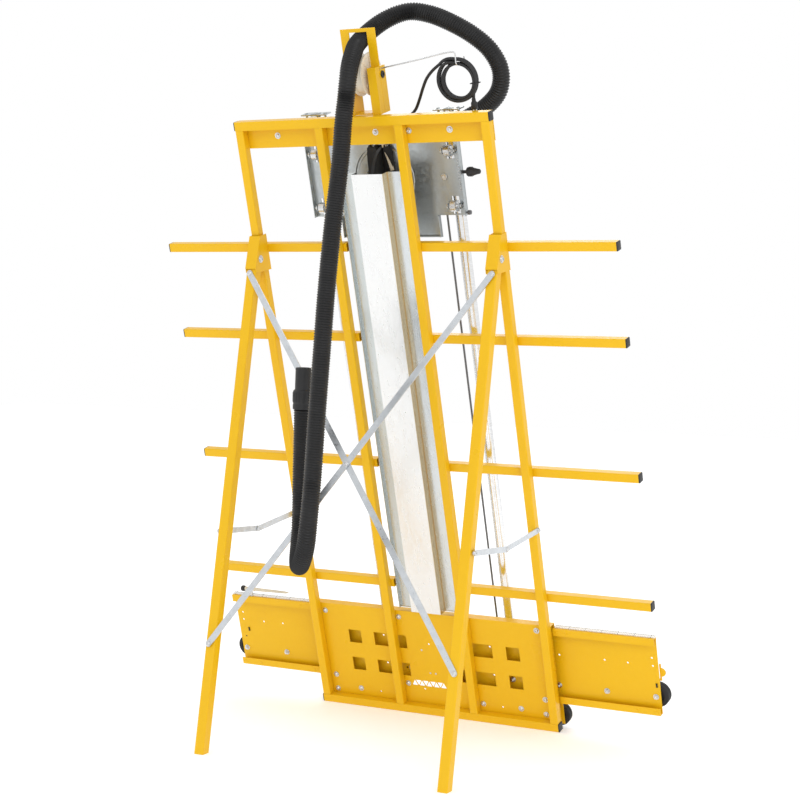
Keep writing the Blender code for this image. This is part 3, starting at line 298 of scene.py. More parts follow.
def channel_sheet():
    """Smooth bright sheet: soft long streaks down the rolling direction, and bands of painted reflection and painted
    shade across its width, where the folded flanges and the -x wall pick up their surroundings."""
    sheet = Finish("channel_sheet", (0.80, 0.805, 0.80), 0.24, 0.92)
    sheet.mottle(sheet.noise(9.0, 4.0, (3, 3, 0.25)), (0.76, 0.77, 0.77), 0.0, 0.5)
    sheet.mottle(sheet.cells(160.0), (0.77, 0.78, 0.79), 0.0, 0.1)
    # Painted reflection and painted shade, one band at a time across the sheet's width.
    for centre, half, tint, share in CHANNEL_PAINTED_REFLECTIONS_AND_SHADE:
        sheet.mottle(sheet.band("X", centre, half), tint, 0.0, share)
    sheet.polish(sheet.noise(30.0, 3.0, (3, 3, 0.3)), 0.20, 0.30)
    return sheet.bump(sheet.noise(240.0, 2.0, (1, 1, 0.1)), 0.00005, 0.25).material


def plated(name, colour, roughness, stretch=(1, 1, 1)):
    """Zinc-plated or bright steel with fine drawing lines."""
    steel = Finish(name, colour, roughness, 0.95)
    steel.mottle(steel.noise(60.0, 4.0, stretch), tuple(0.72 * c for c in colour), 0.0, 0.5)
    steel.polish(steel.noise(180.0, 3.0, stretch), 0.7 * roughness, 1.35 * roughness)
    return steel.bump(steel.noise(600.0, 2.0, stretch), 0.00005, 0.3).material


def moulded(name, colour, roughness, grain=900.0, depth=0.00012):
    """Moulded plastic or rubber: fine spark-eroded grain with a little bloom."""
    plastic = Finish(name, colour, roughness, IOR=1.46, Specular_IOR_Level=0.35)
    plastic.mottle(plastic.noise(22.0, 4.0), tuple(c * 1.5 + 0.006 for c in colour), 0.0, 0.45)
    plastic.polish(plastic.noise(30.0, 3.0), 0.85 * roughness, 1.15 * roughness)
    return plastic.bump(plastic.noise(grain, 2.0), depth, 0.4).material


def scale_strip():
    """White strip with dark graduations every 5 mm and longer ones every 50 mm, along X."""
    strip = Finish("white_scale", (0.87, 0.87, 0.85), 0.35)
    split = strip.nodes.new("ShaderNodeSeparateXYZ")
    strip.link(strip.place, split.inputs["Vector"])
    for pitch, width, share in ((0.005, 0.12, 0.75), (0.050, 0.028, 1.0)):
        ratio = strip.nodes.new("ShaderNodeMath")
        ratio.operation = "DIVIDE"
        ratio.inputs[1].default_value = pitch
        strip.link(split.outputs["X"], ratio.inputs[0])
        step = strip.nodes.new("ShaderNodeMath")
        step.operation = "FRACT"
        strip.link(ratio.outputs[0], step.inputs[0])
        mark = strip.nodes.new("ShaderNodeMath")
        mark.operation = "LESS_THAN"
        mark.inputs[1].default_value = width
        strip.link(step.outputs[0], mark.inputs[0])
        strip.mottle(mark.outputs[0], (0.03, 0.03, 0.03), 0.0, share)
    return strip.bump(strip.noise(500.0, 2.0), 0.00005, 0.2).material


FINISHES = {
    "yellow": powder_coat(),
    "zinc": galvanised(),
    "channel": channel_sheet(),
    "chrome": plated("chromed_tube", (0.86, 0.87, 0.88), 0.13, (1, 1, 8)),
    "steel": plated("plated_steel", (0.72, 0.73, 0.74), 0.28),
    "flat_bar": plated("plated_flat_bar", (0.66, 0.69, 0.72), 0.36),
    "blade": plated("blade_steel", (0.70, 0.70, 0.70), 0.22),
    "black": moulded("black_moulding", (0.018, 0.018, 0.019), 0.42),
    "rubber": moulded("black_rubber", (0.016, 0.016, 0.017), 0.62, 500.0, 0.0003),
    "hose": moulded("hose_plastic", (0.009, 0.009, 0.0095), 0.42, 700.0, 0.0001),
    "casing": moulded("saw_casing", (0.016, 0.017, 0.018), 0.42),
    "grip": moulded("saw_grip", (0.02, 0.02, 0.02), 0.70, 350.0, 0.0006),
    "dark": plated("dark_steel", (0.16, 0.16, 0.17), 0.35),
    "reel": moulded("reel_casing", (0.66, 0.60, 0.49), 0.38),
    "beige": moulded("beige_plastic", (0.58, 0.53, 0.42), 0.42),
    "white": scale_strip(),
}


# ---- shapes: a shape is (points, faces) ----
def surface(points, closed_u=False, closed_v=False, capped=False):
    """Quads between the rows and columns of a (u, v, 3) grid of points, with flat end rows when capped."""
    nu, nv = points.shape[:2]
    u = np.arange(nu if closed_u else nu - 1)
    v = np.arange(nv if closed_v else nv - 1)
    a, b = np.meshgrid(u, v, indexing="ij")
    c, d = (a + 1) % nu, (b + 1) % nv
    quads = np.stack((a * nv + b, c * nv + b, c * nv + d, a * nv + d), axis=-1).reshape(-1, 4)
    faces = quads.tolist()
    if capped:
        faces += [list(range(nv))[::-1], list(range((nu - 1) * nv, nu * nv))]
    return points.reshape(-1, 3), faces


def turned(profile, sides=32):
    """Profile of (radius, height) pairs turned about z: x = r cos t, y = r sin t. A radius of 0 closes a pole."""
    ring = np.asarray(profile, dtype=float)
    ring[:, 0] = np.maximum(ring[:, 0], 1e-5)
    t = 2 * np.pi * np.arange(sides) / sides
    grid = np.stack((
        np.outer(ring[:, 0], np.cos(t)), np.outer(ring[:, 0], np.sin(t)),
        np.broadcast_to(ring[:, 1][:, None], (len(ring), sides)),
    ), axis=-1)
    closed = bool(np.allclose(ring[0], ring[-1]))
    return surface(grid[:-1] if closed else grid, closed_u=closed, closed_v=True, capped=not closed)


def prism(outline, depth):
    """Outline of (a, b) points in the xy plane, carried depth along z."""
    flat = np.asarray(outline, dtype=float)
    low = np.column_stack((flat, np.zeros(len(flat))))
    high = low + (0, 0, depth)
    return surface(np.stack((low, high)), closed_v=True, capped=True)


def block(x0, x1, y0, y1, z0, z1):
    points, faces = prism([(x0, y0), (x1, y0), (x1, y1), (x0, y1)], z1 - z0)
    return points + (0, 0, z0), faces


def swept(path, radius, sides=12, closed=False, squash=1.0):
    """Round tube along a path: each ring is the path's point plus radius (cos t N + squash sin t B), with N and B
    carried along without twist. radius is one number or one for each point."""
    path = np.asarray(path, dtype=float)
    tangent = np.gradient(path, axis=0)
    if closed:
        tangent = np.roll(path, -1, axis=0) - np.roll(path, 1, axis=0)
    tangent /= np.linalg.norm(tangent, axis=1)[:, None]
    side = np.zeros_like(path)
    start = np.cross(tangent[0], (0.21, 0.17, 0.96))
    for k, along in enumerate(tangent):
        start = start - along * (start @ along)
        start /= np.linalg.norm(start)
        side[k] = start
    other = np.cross(tangent, side)
    t = 2 * np.pi * np.arange(sides) / sides
    size = np.broadcast_to(radius, len(path))[:, None, None]
    around = side[:, None] * np.cos(t)[None, :, None] + squash * other[:, None] * np.sin(t)[None, :, None]
    return surface(path[:, None] + size * around, closed_u=closed, closed_v=True, capped=not closed)


def rounded_square(half_a, half_b, radius, steps=5):
    """Rectangle with corner arcs of the given radius."""
    t = np.concatenate([np.linspace(q, q + 1, steps) for q in range(4)]) * np.pi / 2
    sign_a = np.repeat((1, -1, -1, 1), steps)
    sign_b = np.repeat((1, 1, -1, -1), steps)
    return np.stack((
        sign_a * (half_a - radius) + radius * np.cos(t), sign_b * (half_b - radius) + radius * np.sin(t)
    ), axis=-1)


def along(axis, place):
    """Matrix that puts a shape's z axis along axis at a place."""
    turn = Vector(axis).to_track_quat("Z", "Y").to_matrix().to_4x4()
    return Matrix.Translation(Vector(place)) @ turn


def moved(shape, matrix):
    points, faces = shape
    m = np.array(matrix)
    return points @ m[:3, :3].T + m[:3, 3], faces


def joined(shapes):
    points, faces, count = [], [], 0
    for p, f in shapes:
        points.append(p)
        faces += [[i + count for i in face] for face in f]
        count += len(p)
    return np.concatenate(points), faces


def make(name, shape, finish, body, bevel=0.0, leaning=True, angle=32, replaces=()):
    """Object of that shape and finish on a body. A leaning shape is given in the leaning frame's axes."""
    points, faces = moved(shape, LEANING) if leaning else shape
    mesh = bpy.data.meshes.new(name)
    mesh.from_pydata(points.tolist(), [], faces)
    mesh.validate()
    mesh.materials.append(FINISHES[finish])
    mesh.shade_smooth()
    mesh.set_sharp_from_angle(angle=math.radians(angle))
    made = bpy.data.objects.new(name, mesh)
    bpy.context.scene.collection.objects.link(made)
    if bevel:
        edge = made.modifiers.new("edges", "BEVEL")
        edge.width = bevel
        edge.segments = 2
        edge.limit_method = "ANGLE"
        edge.angle_limit = math.radians(40)
        edge.harden_normals = True
    if body:
        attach(made, body)
    if replaces:
        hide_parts(*replaces)
    return made


X, Y, Z = (1, 0, 0), (0, 1, 0), (0, 0, 1)
BACK = (0, 1, 0)
FRONT = (0, -1, 0)


def head(radius, height, washer=1.45):
    """Domed screw head on a washer, with a hex socket sunk in it."""
    w = washer * radius
    dome = turned([
        (0, 0), (w, 0), (w, 0.0012), (radius, 0.0012), (radius, 0.0012 + 0.55 * height),
        (0.80 * radius, 0.0012 + 0.93 * height), (0.55 * radius, 0.0012 + height),
        (0.50 * radius, 0.0012 + 0.45 * height), (0, 0.0012 + 0.45 * height),
    ], 20)
    return dome


def nut(radius, height):
    """Hex nut on a washer with the end of its stud."""
    t = np.arange(6) * np.pi / 3
    hexagon = prism(np.stack((radius * np.cos(t), radius * np.sin(t)), axis=-1), height)
    return joined([
        turned([(0, 0), (1.35 * radius, 0), (1.35 * radius, 0.0011), (0, 0.0011)], 20),
        moved(hexagon, Matrix.Translation((0, 0, 0.0011))),
        turned([(0, 0), (0.55 * radius, 0), (0.55 * radius, height + 0.0032), (0.42 * radius, height + 0.0042),
                (0, height + 0.0042)], 12),
    ])


def scattered(name, shape, places, axis, finish, body, bevel=0.0):
    make(name, joined([moved(shape, along(axis, p)) for p in places]), finish, body, bevel)


# ---- routes ----
def smooth_path(points, spacing, ease=0.0):
    """Centripetal Catmull-Rom curve through the points, read off at the given spacing. ease is the width over which
    bends are evened out, by averaging each place with its neighbours, with both ends kept."""
    p = np.asarray(points, dtype=float)
    p = np.vstack((2 * p[0] - p[1], p, 2 * p[-1] - p[-2]))
    out = []
    for i in range(1, len(p) - 2):
        p0, p1, p2, p3 = p[i - 1:i + 3]
        t1 = np.linalg.norm(p1 - p0) ** 0.5
        t2 = t1 + np.linalg.norm(p2 - p1) ** 0.5
        t3 = t2 + np.linalg.norm(p3 - p2) ** 0.5
        t = np.linspace(t1, t2, 60, endpoint=False)[:, None]
        a1 = (t1 - t) / t1 * p0 + t / t1 * p1
        a2 = (t2 - t) / (t2 - t1) * p1 + (t - t1) / (t2 - t1) * p2
        a3 = (t3 - t) / (t3 - t2) * p2 + (t - t2) / (t3 - t2) * p3
        b1 = (t2 - t) / t2 * a1 + t / t2 * a2
        b2 = (t3 - t) / (t3 - t1) * a2 + (t - t1) / (t3 - t1) * a3
        out.append((t2 - t) / (t2 - t1) * b1 + (t - t1) / (t2 - t1) * b2)
    line = np.vstack((*out, p[-2]))
    run = np.concatenate(([0.0], np.cumsum(np.linalg.norm(np.diff(line, axis=0), axis=1))))
    even = np.linspace(0, run[-1], round(run[-1] / min(0.004, spacing)) + 1)
    line = np.stack([np.interp(even, run, line[:, k]) for k in range(3)], axis=-1)
    for _ in range(round(2 * (ease / 0.004) ** 2)):
        line[2:-2] = (line[1:-3] + 2 * line[2:-2] + line[3:-1]) / 4
    stops = np.linspace(0, run[-1], round(run[-1] / spacing) + 1)
    return np.stack([np.interp(stops, even, line[:, k]) for k in range(3)], axis=-1)


PORT_OUT = np.array((-math.cos(PORT_TILT), 0.0, math.sin(PORT_TILT)))


def hose_route():
    """The hose from the dust port, over the header through the gantry's window, down behind the stand and up."""
    port = np.array(PORT) + PORT_REACH * PORT_OUT
    high = [
        (-0.294, -0.200, 1.806), (-0.342, -0.200, 1.850), (-0.353, -0.200, 1.907), (-0.328, -0.200, 1.962),
        (-0.280, -0.200, 2.006), (-0.220, -0.200, 2.042), (-0.160, -0.200, 2.068), (-0.101, -0.187, 2.081),
        (-0.046, -0.140, 2.066), (-0.0070, -0.052, 2.0228), (-0.016, -0.005, 2.003), (-0.024, 0.035, 1.976),
        (-0.025, 0.058, 1.940), (-0.017, 0.066, 1.895),
    ]
    hanging = [
        (-0.0145, 0.575, 1.745), (-0.0150, 0.592, 1.640), (-0.0120, 0.625, 1.480), (-0.017, 0.670, 1.290),
        (-0.024, 0.706, 1.130), (-0.027, 0.736, 0.970), (-0.032, 0.768, 0.800), (-0.033, 0.788, 0.700),
        (-0.016, 0.778, 0.624), (0.024, 0.740, 0.568), (0.068, 0.680, 0.568), (0.094, 0.630, 0.624),
        (0.102, 0.612, 0.700), (0.103, 0.606, 0.800), (0.101, 0.604, 0.900), (0.099, 0.604, 0.972),
    ]
    first = [port + PORT_OUT * step for step in (0.0003, 0.04, 0.08)]
    return np.vstack((lean(np.vstack((first, high))), upright(hanging)))


def make_hose():
    """Corrugated hose: radius = outside less a rounded groove every HOSE_PITCH along the route."""
    route = hose_route()
    path = smooth_path(route, HOSE_PITCH / 4, HOSE_EASE)
    ring = np.arange(len(path))
    radius = HOSE_R - HOSE_GROOVE * (0.5 - 0.5 * np.cos(ring * np.pi / 2)) ** 0.7
    hose = make("ribbed_hose", swept(path, radius, 18), "hose", None, leaning=False, angle=60)
    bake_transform(hose)
    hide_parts("vacuum_hose")
    foot = route[-1]
    axis = Vector(path[-1] - path[-3]).normalized()
    profile = [
        (0.0185, 0), (0.0268, 0), (0.0275, 0.001), (0.0275, 0.012), (0.0266, 0.0135), (0.0266, 0.017),
        (0.0275, 0.0185), (0.0275, 0.048), (0.0262, 0.051), (0.0226, 0.054), (0.0224, 0.058), (0.0215, 0.112),
        (0.0210, 0.113), (0.0190, 0.113), (0.0185, 0.1115), (0.0185, 0),
    ]
    ribs = [
        moved(block(-0.0011, 0.0011, 0.0265, 0.0283, 0.021, 0.046), Matrix.Rotation(t, 4, "Z"))
        for t in np.arange(18) * math.pi / 9
    ]
    place = along(axis, foot + GAP * np.array(axis))
    cuff = make("hose_end_cuff", moved(joined([turned(profile, 40), *ribs]), place), "black", "frame", leaning=False,
                replaces=("hose_cuff",))
    collar = [
        (HOSE_R + 0.0008, -0.012), (0.0272, -0.012), (0.0285, -0.010), (0.0285, 0.018), (0.0272, 0.020),
        (HOSE_R + 0.0008, 0.020), (HOSE_R + 0.0008, -0.012),
    ]
    place = lean(np.array(PORT) + PORT_REACH * PORT_OUT)
    turn = LEANING.to_3x3() @ Vector(PORT_OUT)
    make("hose_port_collar", moved(turned(collar, 36), along(turn, place)), "black", "carriage", leaning=False)


def cord_route():
    return [
        (-0.060, -0.1295, 1.7380), (-0.062, -0.1295, 1.755), (-0.070, -0.127, 1.775), (-0.088, -0.120, 1.795),
        (-0.112, -0.108, 1.811), (-0.137, -0.094, 1.829), (-0.158, -0.084, 1.858), (-0.176, -0.077, 1.888),
        (-0.194, -0.071, 1.914), (-0.217, -0.066, 1.935),
    ]


def coil_turns():
    """Turns about y: x = cx + dx + r cos t, z = cz + dz + r sin t, with r, y, dx and dz eased between the settings
    below, each given at its angle t in degrees."""
    setting = np.array([
        (45, 0.0650, -0.0640, 0.0, 0.0), (105, 0.0560, -0.0594, 0.0, 0.0), (400, 0.0560, -0.0594, 0.0, 0.0),
        (470, 0.0462, -0.0594, -0.0035, -0.0025), (760, 0.0462, -0.0594, -0.0035, -0.0025),
        (830, 0.0462, -0.0687, -0.0035, -0.0025), (1120, 0.0462, -0.0687, -0.0035, -0.0025),
        (1190, 0.0560, -0.0687, 0.0, 0.0), (1575, 0.0560, -0.0687, 0.0, 0.0), (1622, 0.0500, -0.0660, 0.0, 0.0),
    ])
    degrees = np.arange(45, 1623, 4.0)
    step = np.clip(np.searchsorted(setting[:, 0], degrees, side="right") - 1, 0, len(setting) - 2)
    share = (degrees - setting[step, 0]) / (setting[step + 1, 0] - setting[step, 0])
    share = (share * share * (3 - 2 * share))[:, None]
    r, y, dx, dz = (setting[step, 1:] * (1 - share) + setting[step + 1, 1:] * share).T
    t = np.radians(degrees)
    return np.stack((COIL_CENTRE[0] + dx + r * np.cos(t), y, COIL_CENTRE[2] + dz + r * np.sin(t)), axis=-1)


def make_power_cord():
    coil = coil_turns()
    top = np.array(PLUG_TOP)
    tail = top + np.array([(-0.0030, 0, 0.0180), (-0.0010, 0, 0.0060), (0, 0, -0.0020)])
    path = smooth_path(np.vstack((lean(cord_route()), lean(coil), lean(tail))), CORD_R)
    cord = make("power_lead", swept(path, CORD_R, 12), "black", None, leaning=False, angle=60)
    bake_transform(cord)
    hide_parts("power_cord", "cord_coil")
    body = turned([
        (0.0048, 0.001), (0.0053, 0.0), (0.0056, -0.006), (0.0072, -0.008), (0.0086, -0.011), (0.0088, -0.025),
        (0.0078, -0.028), (0, -0.028),
    ], 24)
    plug = make("lead_plug", moved(body, Matrix.Translation(PLUG_TOP)), "black", "frame", replaces=("power_plug",))
    pins = [block(x - 0.0008, x + 0.0008, -0.003, 0.003, -0.041, -0.027) for x in (-0.0045, 0.0045)]
    blades = make("plug_pins", moved(joined(pins), Matrix.Translation(PLUG_TOP)), "steel", "frame")
    gland = turned([(0.0046, 0), (0.0085, 0), (0.0085, 0.006), (0.0068, 0.009), (0.0054, 0.025), (0.0046, 0.025),
                    (0.0046, 0)], 20)
    make("cord_gland", moved(gland, along(Z, (-0.060, -0.1295, 1.7375))), "black", "carriage")
    loop = rounded_square(0.0115, 0.0112, 0.004)
    band = np.column_stack((loop[:, 0], np.zeros(len(loop)), loop[:, 1]))
    around = swept(band * (1, 1, 1), 0.0011, 8, closed=True)
    place = Matrix.Translation((COIL_CENTRE[0] - 0.0515, -0.064, COIL_CENTRE[2] - 0.010))
    turn = Matrix(((1, 0, 0), (0, 0, 1), (0, 1, 0))).to_4x4()
    tail_end = block(-0.0035, -0.0015, -0.0110, 0.0040, 0.0105, 0.0170)
    make("cord_tie", moved(joined([moved(around, turn), tail_end]), place), "black", "frame")


def make_hook_and_cable():
    start = REEL[0] - 0.0545
    hook = [
        (start, -0.050, 1.951), (-0.180, -0.050, 1.968), (-0.285, -0.050, 1.984), (-0.2975, -0.050, 1.982),
        (-0.2985, -0.050, 1.965), (-0.2985, -0.050, 1.954), (-0.2985, -0.054, 1.9485), (-0.2985, -0.0765, 1.947),
        (-0.2985, -0.097, 1.9485), (-0.2985, -0.1005, 1.954), (-0.2985, -0.1005, 1.964),
    ]
    make("cord_hook", swept(smooth_path(hook, 0.003), 0.002, 10), "steel", "frame", replaces=("cord_hook_arm",),
         angle=60)
    y = REEL[1] - REEL_DRUM_R - 0.0018
    low = 1.7378
    stops = np.linspace(REEL[2], low, 90)
    path = lean(np.stack((np.full(90, REEL[0]), np.full(90, y), stops), axis=-1))
    strand = 0.0013 + 0.0002 * np.cos(np.arange(90) * 2.1)
    cable = make("lift_cable", swept(path, strand, 8), "steel", None, leaning=False)
    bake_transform(cable)
    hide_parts("counterbalance_cable")
    lug = joined([
        block(REEL[0] - 0.006, REEL[0] + 0.006, y - 0.0015, y + 0.0015, low - 0.030, low - 0.001),
        moved(turned([(0, 0), (0.004, 0), (0.004, 0.004), (0, 0.004)], 16), along(FRONT, (REEL[0], y, low - 0.014))),
    ])
    make("cable_lug", lug, "steel", "carriage", bevel=0.0005)



# ---- the fixed frame's details ----
def end_cap(thick=0.0035, half=TUBE / 2):
    """Moulded end cap: a rounded square with a shallow crown."""
    rim = rounded_square(half, half, TUBE_ROUND)
    rows = [(1.0, 0.0), (1.0, 0.6 * thick), (0.95, 0.9 * thick), (0.80, thick), (0.02, 1.1 * thick)]
    grid = np.stack([np.column_stack((rim * s, np.full(len(rim), h))) for s, h in rows])
    return surface(grid, closed_v=True, capped=True)


def make_end_caps():
    caps = []
    for height in BAR_HEIGHTS:
        for side in (-1, 1):
            place = (side * (BAR_REACH - CAP_SINK), COVER_BACK_Y - TUBE / 2, height)
            caps.append(moved(end_cap(), along((side, 0, 0), place)))
    for side in (-1, 1):
        for height in (TUBE / 2, FRAME_HEIGHT - TUBE / 2):
            caps.append(moved(end_cap(), along((side, 0, 0), (side * (HALF_WIDTH - CAP_SINK), -TUBE / 2, height))))
    make("tube_end_caps", joined(caps), "black", "frame")


HEADER_SCREWS = ((0.276, 1.783), (-0.0405, 1.783), (-0.144, 1.783), (-0.269, 1.783))
HEADER_RIVETS = ((0.212, 1.780), (0.160, 1.780), (-0.208, 1.780), (-0.335, 1.780))
COVER_SCREWS = (
    (0.362, 0.305), (0.357, 0.0865), (0.358, 0.038), (0.104, 0.309), (0.101, 0.087), (-0.149, 0.049), (-0.353, 0.312),
    (-0.3565, 0.089), (-0.354, 0.040), (-0.097, 0.309), (-0.274, 0.049), (0.273, 0.0485),
)
COVER_RIVETS = ((0.0195, 0.1300), (0.0010, 0.1300), (0.039, 0.205), (0.290, 0.020), (-0.290, 0.020))
LIP_RIVETS = ((0.458, 0.308), (-0.412, 0.308), (-0.443, 0.308), (0.640, 0.088), (0.440, 0.088), (-0.640, 0.088),
              (-0.440, 0.088), (-0.700, 0.089), (0.700, 0.089))


def make_fasteners():
    screw = head(0.0062, 0.0042)
    places = [(x, COVER_BACK_Y, z) for x, z in HEADER_SCREWS + COVER_SCREWS]
    scattered("cover_screws", screw, places, BACK, "steel", "frame")
    rivet = turned([(0, 0), (0.0033, 0), (0.0030, 0.0009), (0.0018, 0.0015), (0, 0.0016)], 14)
    inside = FRONT_Y + SKIN
    scattered("cover_rivets", rivet, [(x, COVER_BACK_Y, z) for x, z in COVER_RIVETS], BACK, "steel", "frame")
    painted = [(x, COVER_BACK_Y - 0.003, z) for x, z in HEADER_RIVETS] + [(x, -0.0335, z) for x, z in LIP_RIVETS]
    scattered("painted_rivets", rivet, painted, BACK, "yellow", "frame")
    for x, z, word in ((0.6765, 0.197, "right"), (-0.7015, 0.167, "left")):
        make(f"wing_buffer_{word}", block(x - 0.0022, x + 0.0022, inside, inside + 0.003, z - 0.0055, z + 0.0055),
             "black", "frame", 0.0008)
    axles = [(side * x, inside, ROLLER_Z) for x in ROLLER_XS for side in (-1, 1)]
    axles += [(side * CASTER_X, inside, CASTER_Z) for side in (-1, 1)]
    scattered("axle_nuts", nut(0.0065, 0.0055), axles, BACK, "steel", "frame", 0.0004)
    pins = [moved(head(0.0085, 0.004, 1.3), along(FRONT, (x, -0.0785, z))) for x, _, z in axles]
    pins += [
        moved(turned([(0, 0), (0.0046, 0), (0.0046, 0.030), (0, 0.030)], 16), along(FRONT, (x, FRONT_Y + 0.0005, z)))
        for x, _, z in axles
    ]
    make("axle_bolts", joined(pins), "steel", "frame")
    bolts = []
    for height in BAR_HEIGHTS:
        for x in (0.1257, OUTER_UPRIGHT_X):
            bolts += [moved(head(0.0052, 0.003), along(FRONT, (s * x, FRONT_Y, height))) for s in (-1, 1)]
    make("bar_screws", joined(bolts), "steel", "frame")


def make_scales():
    for side, word in ((1, "right"), (-1, "left")):
        x0, x1 = sorted((side * 0.404, side * 0.711))
        make(f"scale_{word}", block(x0, x1, FRONT_Y - 0.0016, FRONT_Y - 0.0001, 0.296, 0.3235), "white", "frame",
             0.0003)
        foot = block(x0, x1, FRONT_Y, FRONT_Y + 0.010, 0.3193, 0.3223)
        make(f"scale_ledge_{word}", foot, "white", "frame", 0.0004)


def make_stop_rod():
    """Tapered stop pointer held above the right wing on a stud, with a round knob."""
    x = np.linspace(0.663, 0.502, 24)
    path = np.stack((x, np.full(24, -0.046), np.full(24, 0.3405)), axis=-1)
    taper = np.interp(x, (0.502, 0.512, 0.663), (0.0012, 0.0035, 0.0062))
    make("stop_pointer", swept(path, taper, 20), "beige", "frame")
    ball = turned([(0, 0), (0.005, 0), (0.0085, 0.003), (0.0095, 0.008), (0.0085, 0.013), (0.005, 0.016), (0, 0.016)],
                  28)
    make("stop_knob", moved(ball, along(X, (0.6625, -0.046, 0.3405))), "black", "frame")
    stud = turned([(0, 0), (0.0075, 0), (0.0075, 0.002), (0.0035, 0.003), (0.0035, 0.022), (0, 0.022)], 20)
    make("stop_stud", moved(stud, along(Z, (0.640, -0.044, 0.3192))), "steel", "frame")
    t = np.linspace(-np.pi / 2, np.pi / 2, 16)
    tab = np.vstack((
        [(0.0, -0.026), (0.004, -0.026)], np.stack((0.004 + 0.013 * np.cos(t), 0.013 * np.sin(t)), axis=-1),
        [(0.004, 0.026), (0.0, 0.026)],
    ))
    turn = Matrix(((-1, 0, 0), (0, 0, 1), (0, 1, 0))).to_4x4()
    shape = moved(prism(tab, 0.003), Matrix.Translation((-0.7105, -0.0600, 0.205)) @ turn)
    leg = block(-0.7115, -0.690, -0.0600, -0.0512, 0.181, 0.184)
    make("wing_end_tab", joined([shape, leg]), "yellow", "frame", 0.0004)


def make_guides():
    """Guide tubes with their top plates and stop collars, and the rod that the carriage lock clamps."""
    cap_z = 1.8172
    for side, word in ((-1, "left"), (1, "right")):
        x = side * GUIDE_X
        ring = [(GUIDE_R, 0), (GUIDE_R, 1.796), (GUIDE_R - 0.0006, 1.797), (0.0139, 1.797), (0.0139, 0), (GUIDE_R, 0)]
        make(f"guide_{word}", moved(turned(ring, 48), along(Z, (x, GUIDE_Y, 0.020))), "chrome", "frame",
             replaces=(f"guide_tube_{word}",))
        plate = rounded_square(0.041, 0.020, 0.005)
        cap = [moved(prism(plate, 0.003), Matrix.Translation((x, GUIDE_Y, cap_z)))]
        cap += [moved(head(0.0110, 0.0010), Matrix.Translation((x, GUIDE_Y, cap_z + 0.003)))]
        for dx in (-0.031, 0.031):
            cap.append(moved(turned([(0, 0), (0.0035, 0), (0.0035, 0.0195), (0, 0.0195)], 12),
                             Matrix.Translation((x + dx, GUIDE_Y, 1.7985))))
            cap.append(moved(head(0.0040, 0.0008), Matrix.Translation((x + dx, GUIDE_Y, cap_z + 0.003))))
        make(f"guide_cap_{word}", joined(cap), "zinc", "frame", 0.0005)
        collar = [
            (GUIDE_R + 0.0002, 0), (GUIDE_R + 0.006, 0), (GUIDE_R + 0.0068, 0.0008), (GUIDE_R + 0.0068, 0.014),
            (GUIDE_R + 0.006, 0.015), (GUIDE_R + 0.0002, 0.015), (GUIDE_R + 0.0002, 0),
        ]
        stops = [moved(turned(collar, 36), along(Z, (x, GUIDE_Y, z))) for z in (0.0403, 1.7845)]
        make(f"guide_collars_{word}", joined(stops), "black", "frame")
    rod = np.array([(-0.169, -0.140, z) for z in np.linspace(0.060, 1.800, 40)])
    feet = [
        block(-0.176, -0.162, -0.1460, -0.0500, 0.052, 0.060), block(-0.176, -0.162, -0.1460, -0.0270, 1.791, 1.799),
    ]
    make("lock_rail", swept(rod, 0.003, 12), "dark", "frame")
    make("lock_rail_feet", joined(feet), "dark", "frame", 0.0008)


def make_gantry():
    """The reel's drum with ribbed cheeks, and the caps on its axle."""
    x, y, z = REEL
    outer = 0.0543
    pieces = []
    for side in (-1, 1):
        ring = [(0, 0), (0.0090, 0), (0.0100, 0.0008), (0.0100, 0.0022), (0.0088, 0.0030), (0.0045, 0.0030),
                (0.0042, 0.0012), (0, 0.0012)]
        pieces.append(moved(turned(ring, 28), along((side, 0, 0), (x + side * outer, y + 0.006, z - 0.002))))
    make("reel_axle_caps", joined(pieces), "black", "frame")
    half = 0.0178
    rim = 0.0595
    cover = [
        (0.0068, -half), (0.020, -half), (0.022, -half + 0.0015), (0.047, -half + 0.0015), (0.049, -half),
        (rim - 0.001, -half), (rim, -half + 0.001), (rim, -half + 0.002), (rim - 0.001, -half + 0.003),
        (REEL_DRUM_R, -half + 0.004), (REEL_DRUM_R, half - 0.004), (rim - 0.001, half - 0.003), (rim, half - 0.002),
        (rim, half - 0.001), (rim - 0.001, half), (0.049, half), (0.047, half - 0.0015), (0.022, half - 0.0015),
        (0.020, half), (0.0068, half), (0.0068, -half),
    ]
    ribs = [
        moved(block(0.0215, 0.0475, -0.0015, 0.0015, s * half - 0.0008, s * half + 0.0008),
              Matrix.Rotation(t, 4, "Z"))
        for t in np.arange(8) * math.pi / 4 for s in (-0.96, 0.96)
    ]
    make("reel_drum", moved(joined([turned(cover, 56), *ribs]), along(X, REEL)), "reel", "reel",
         replaces=("counterbalance_reel",))


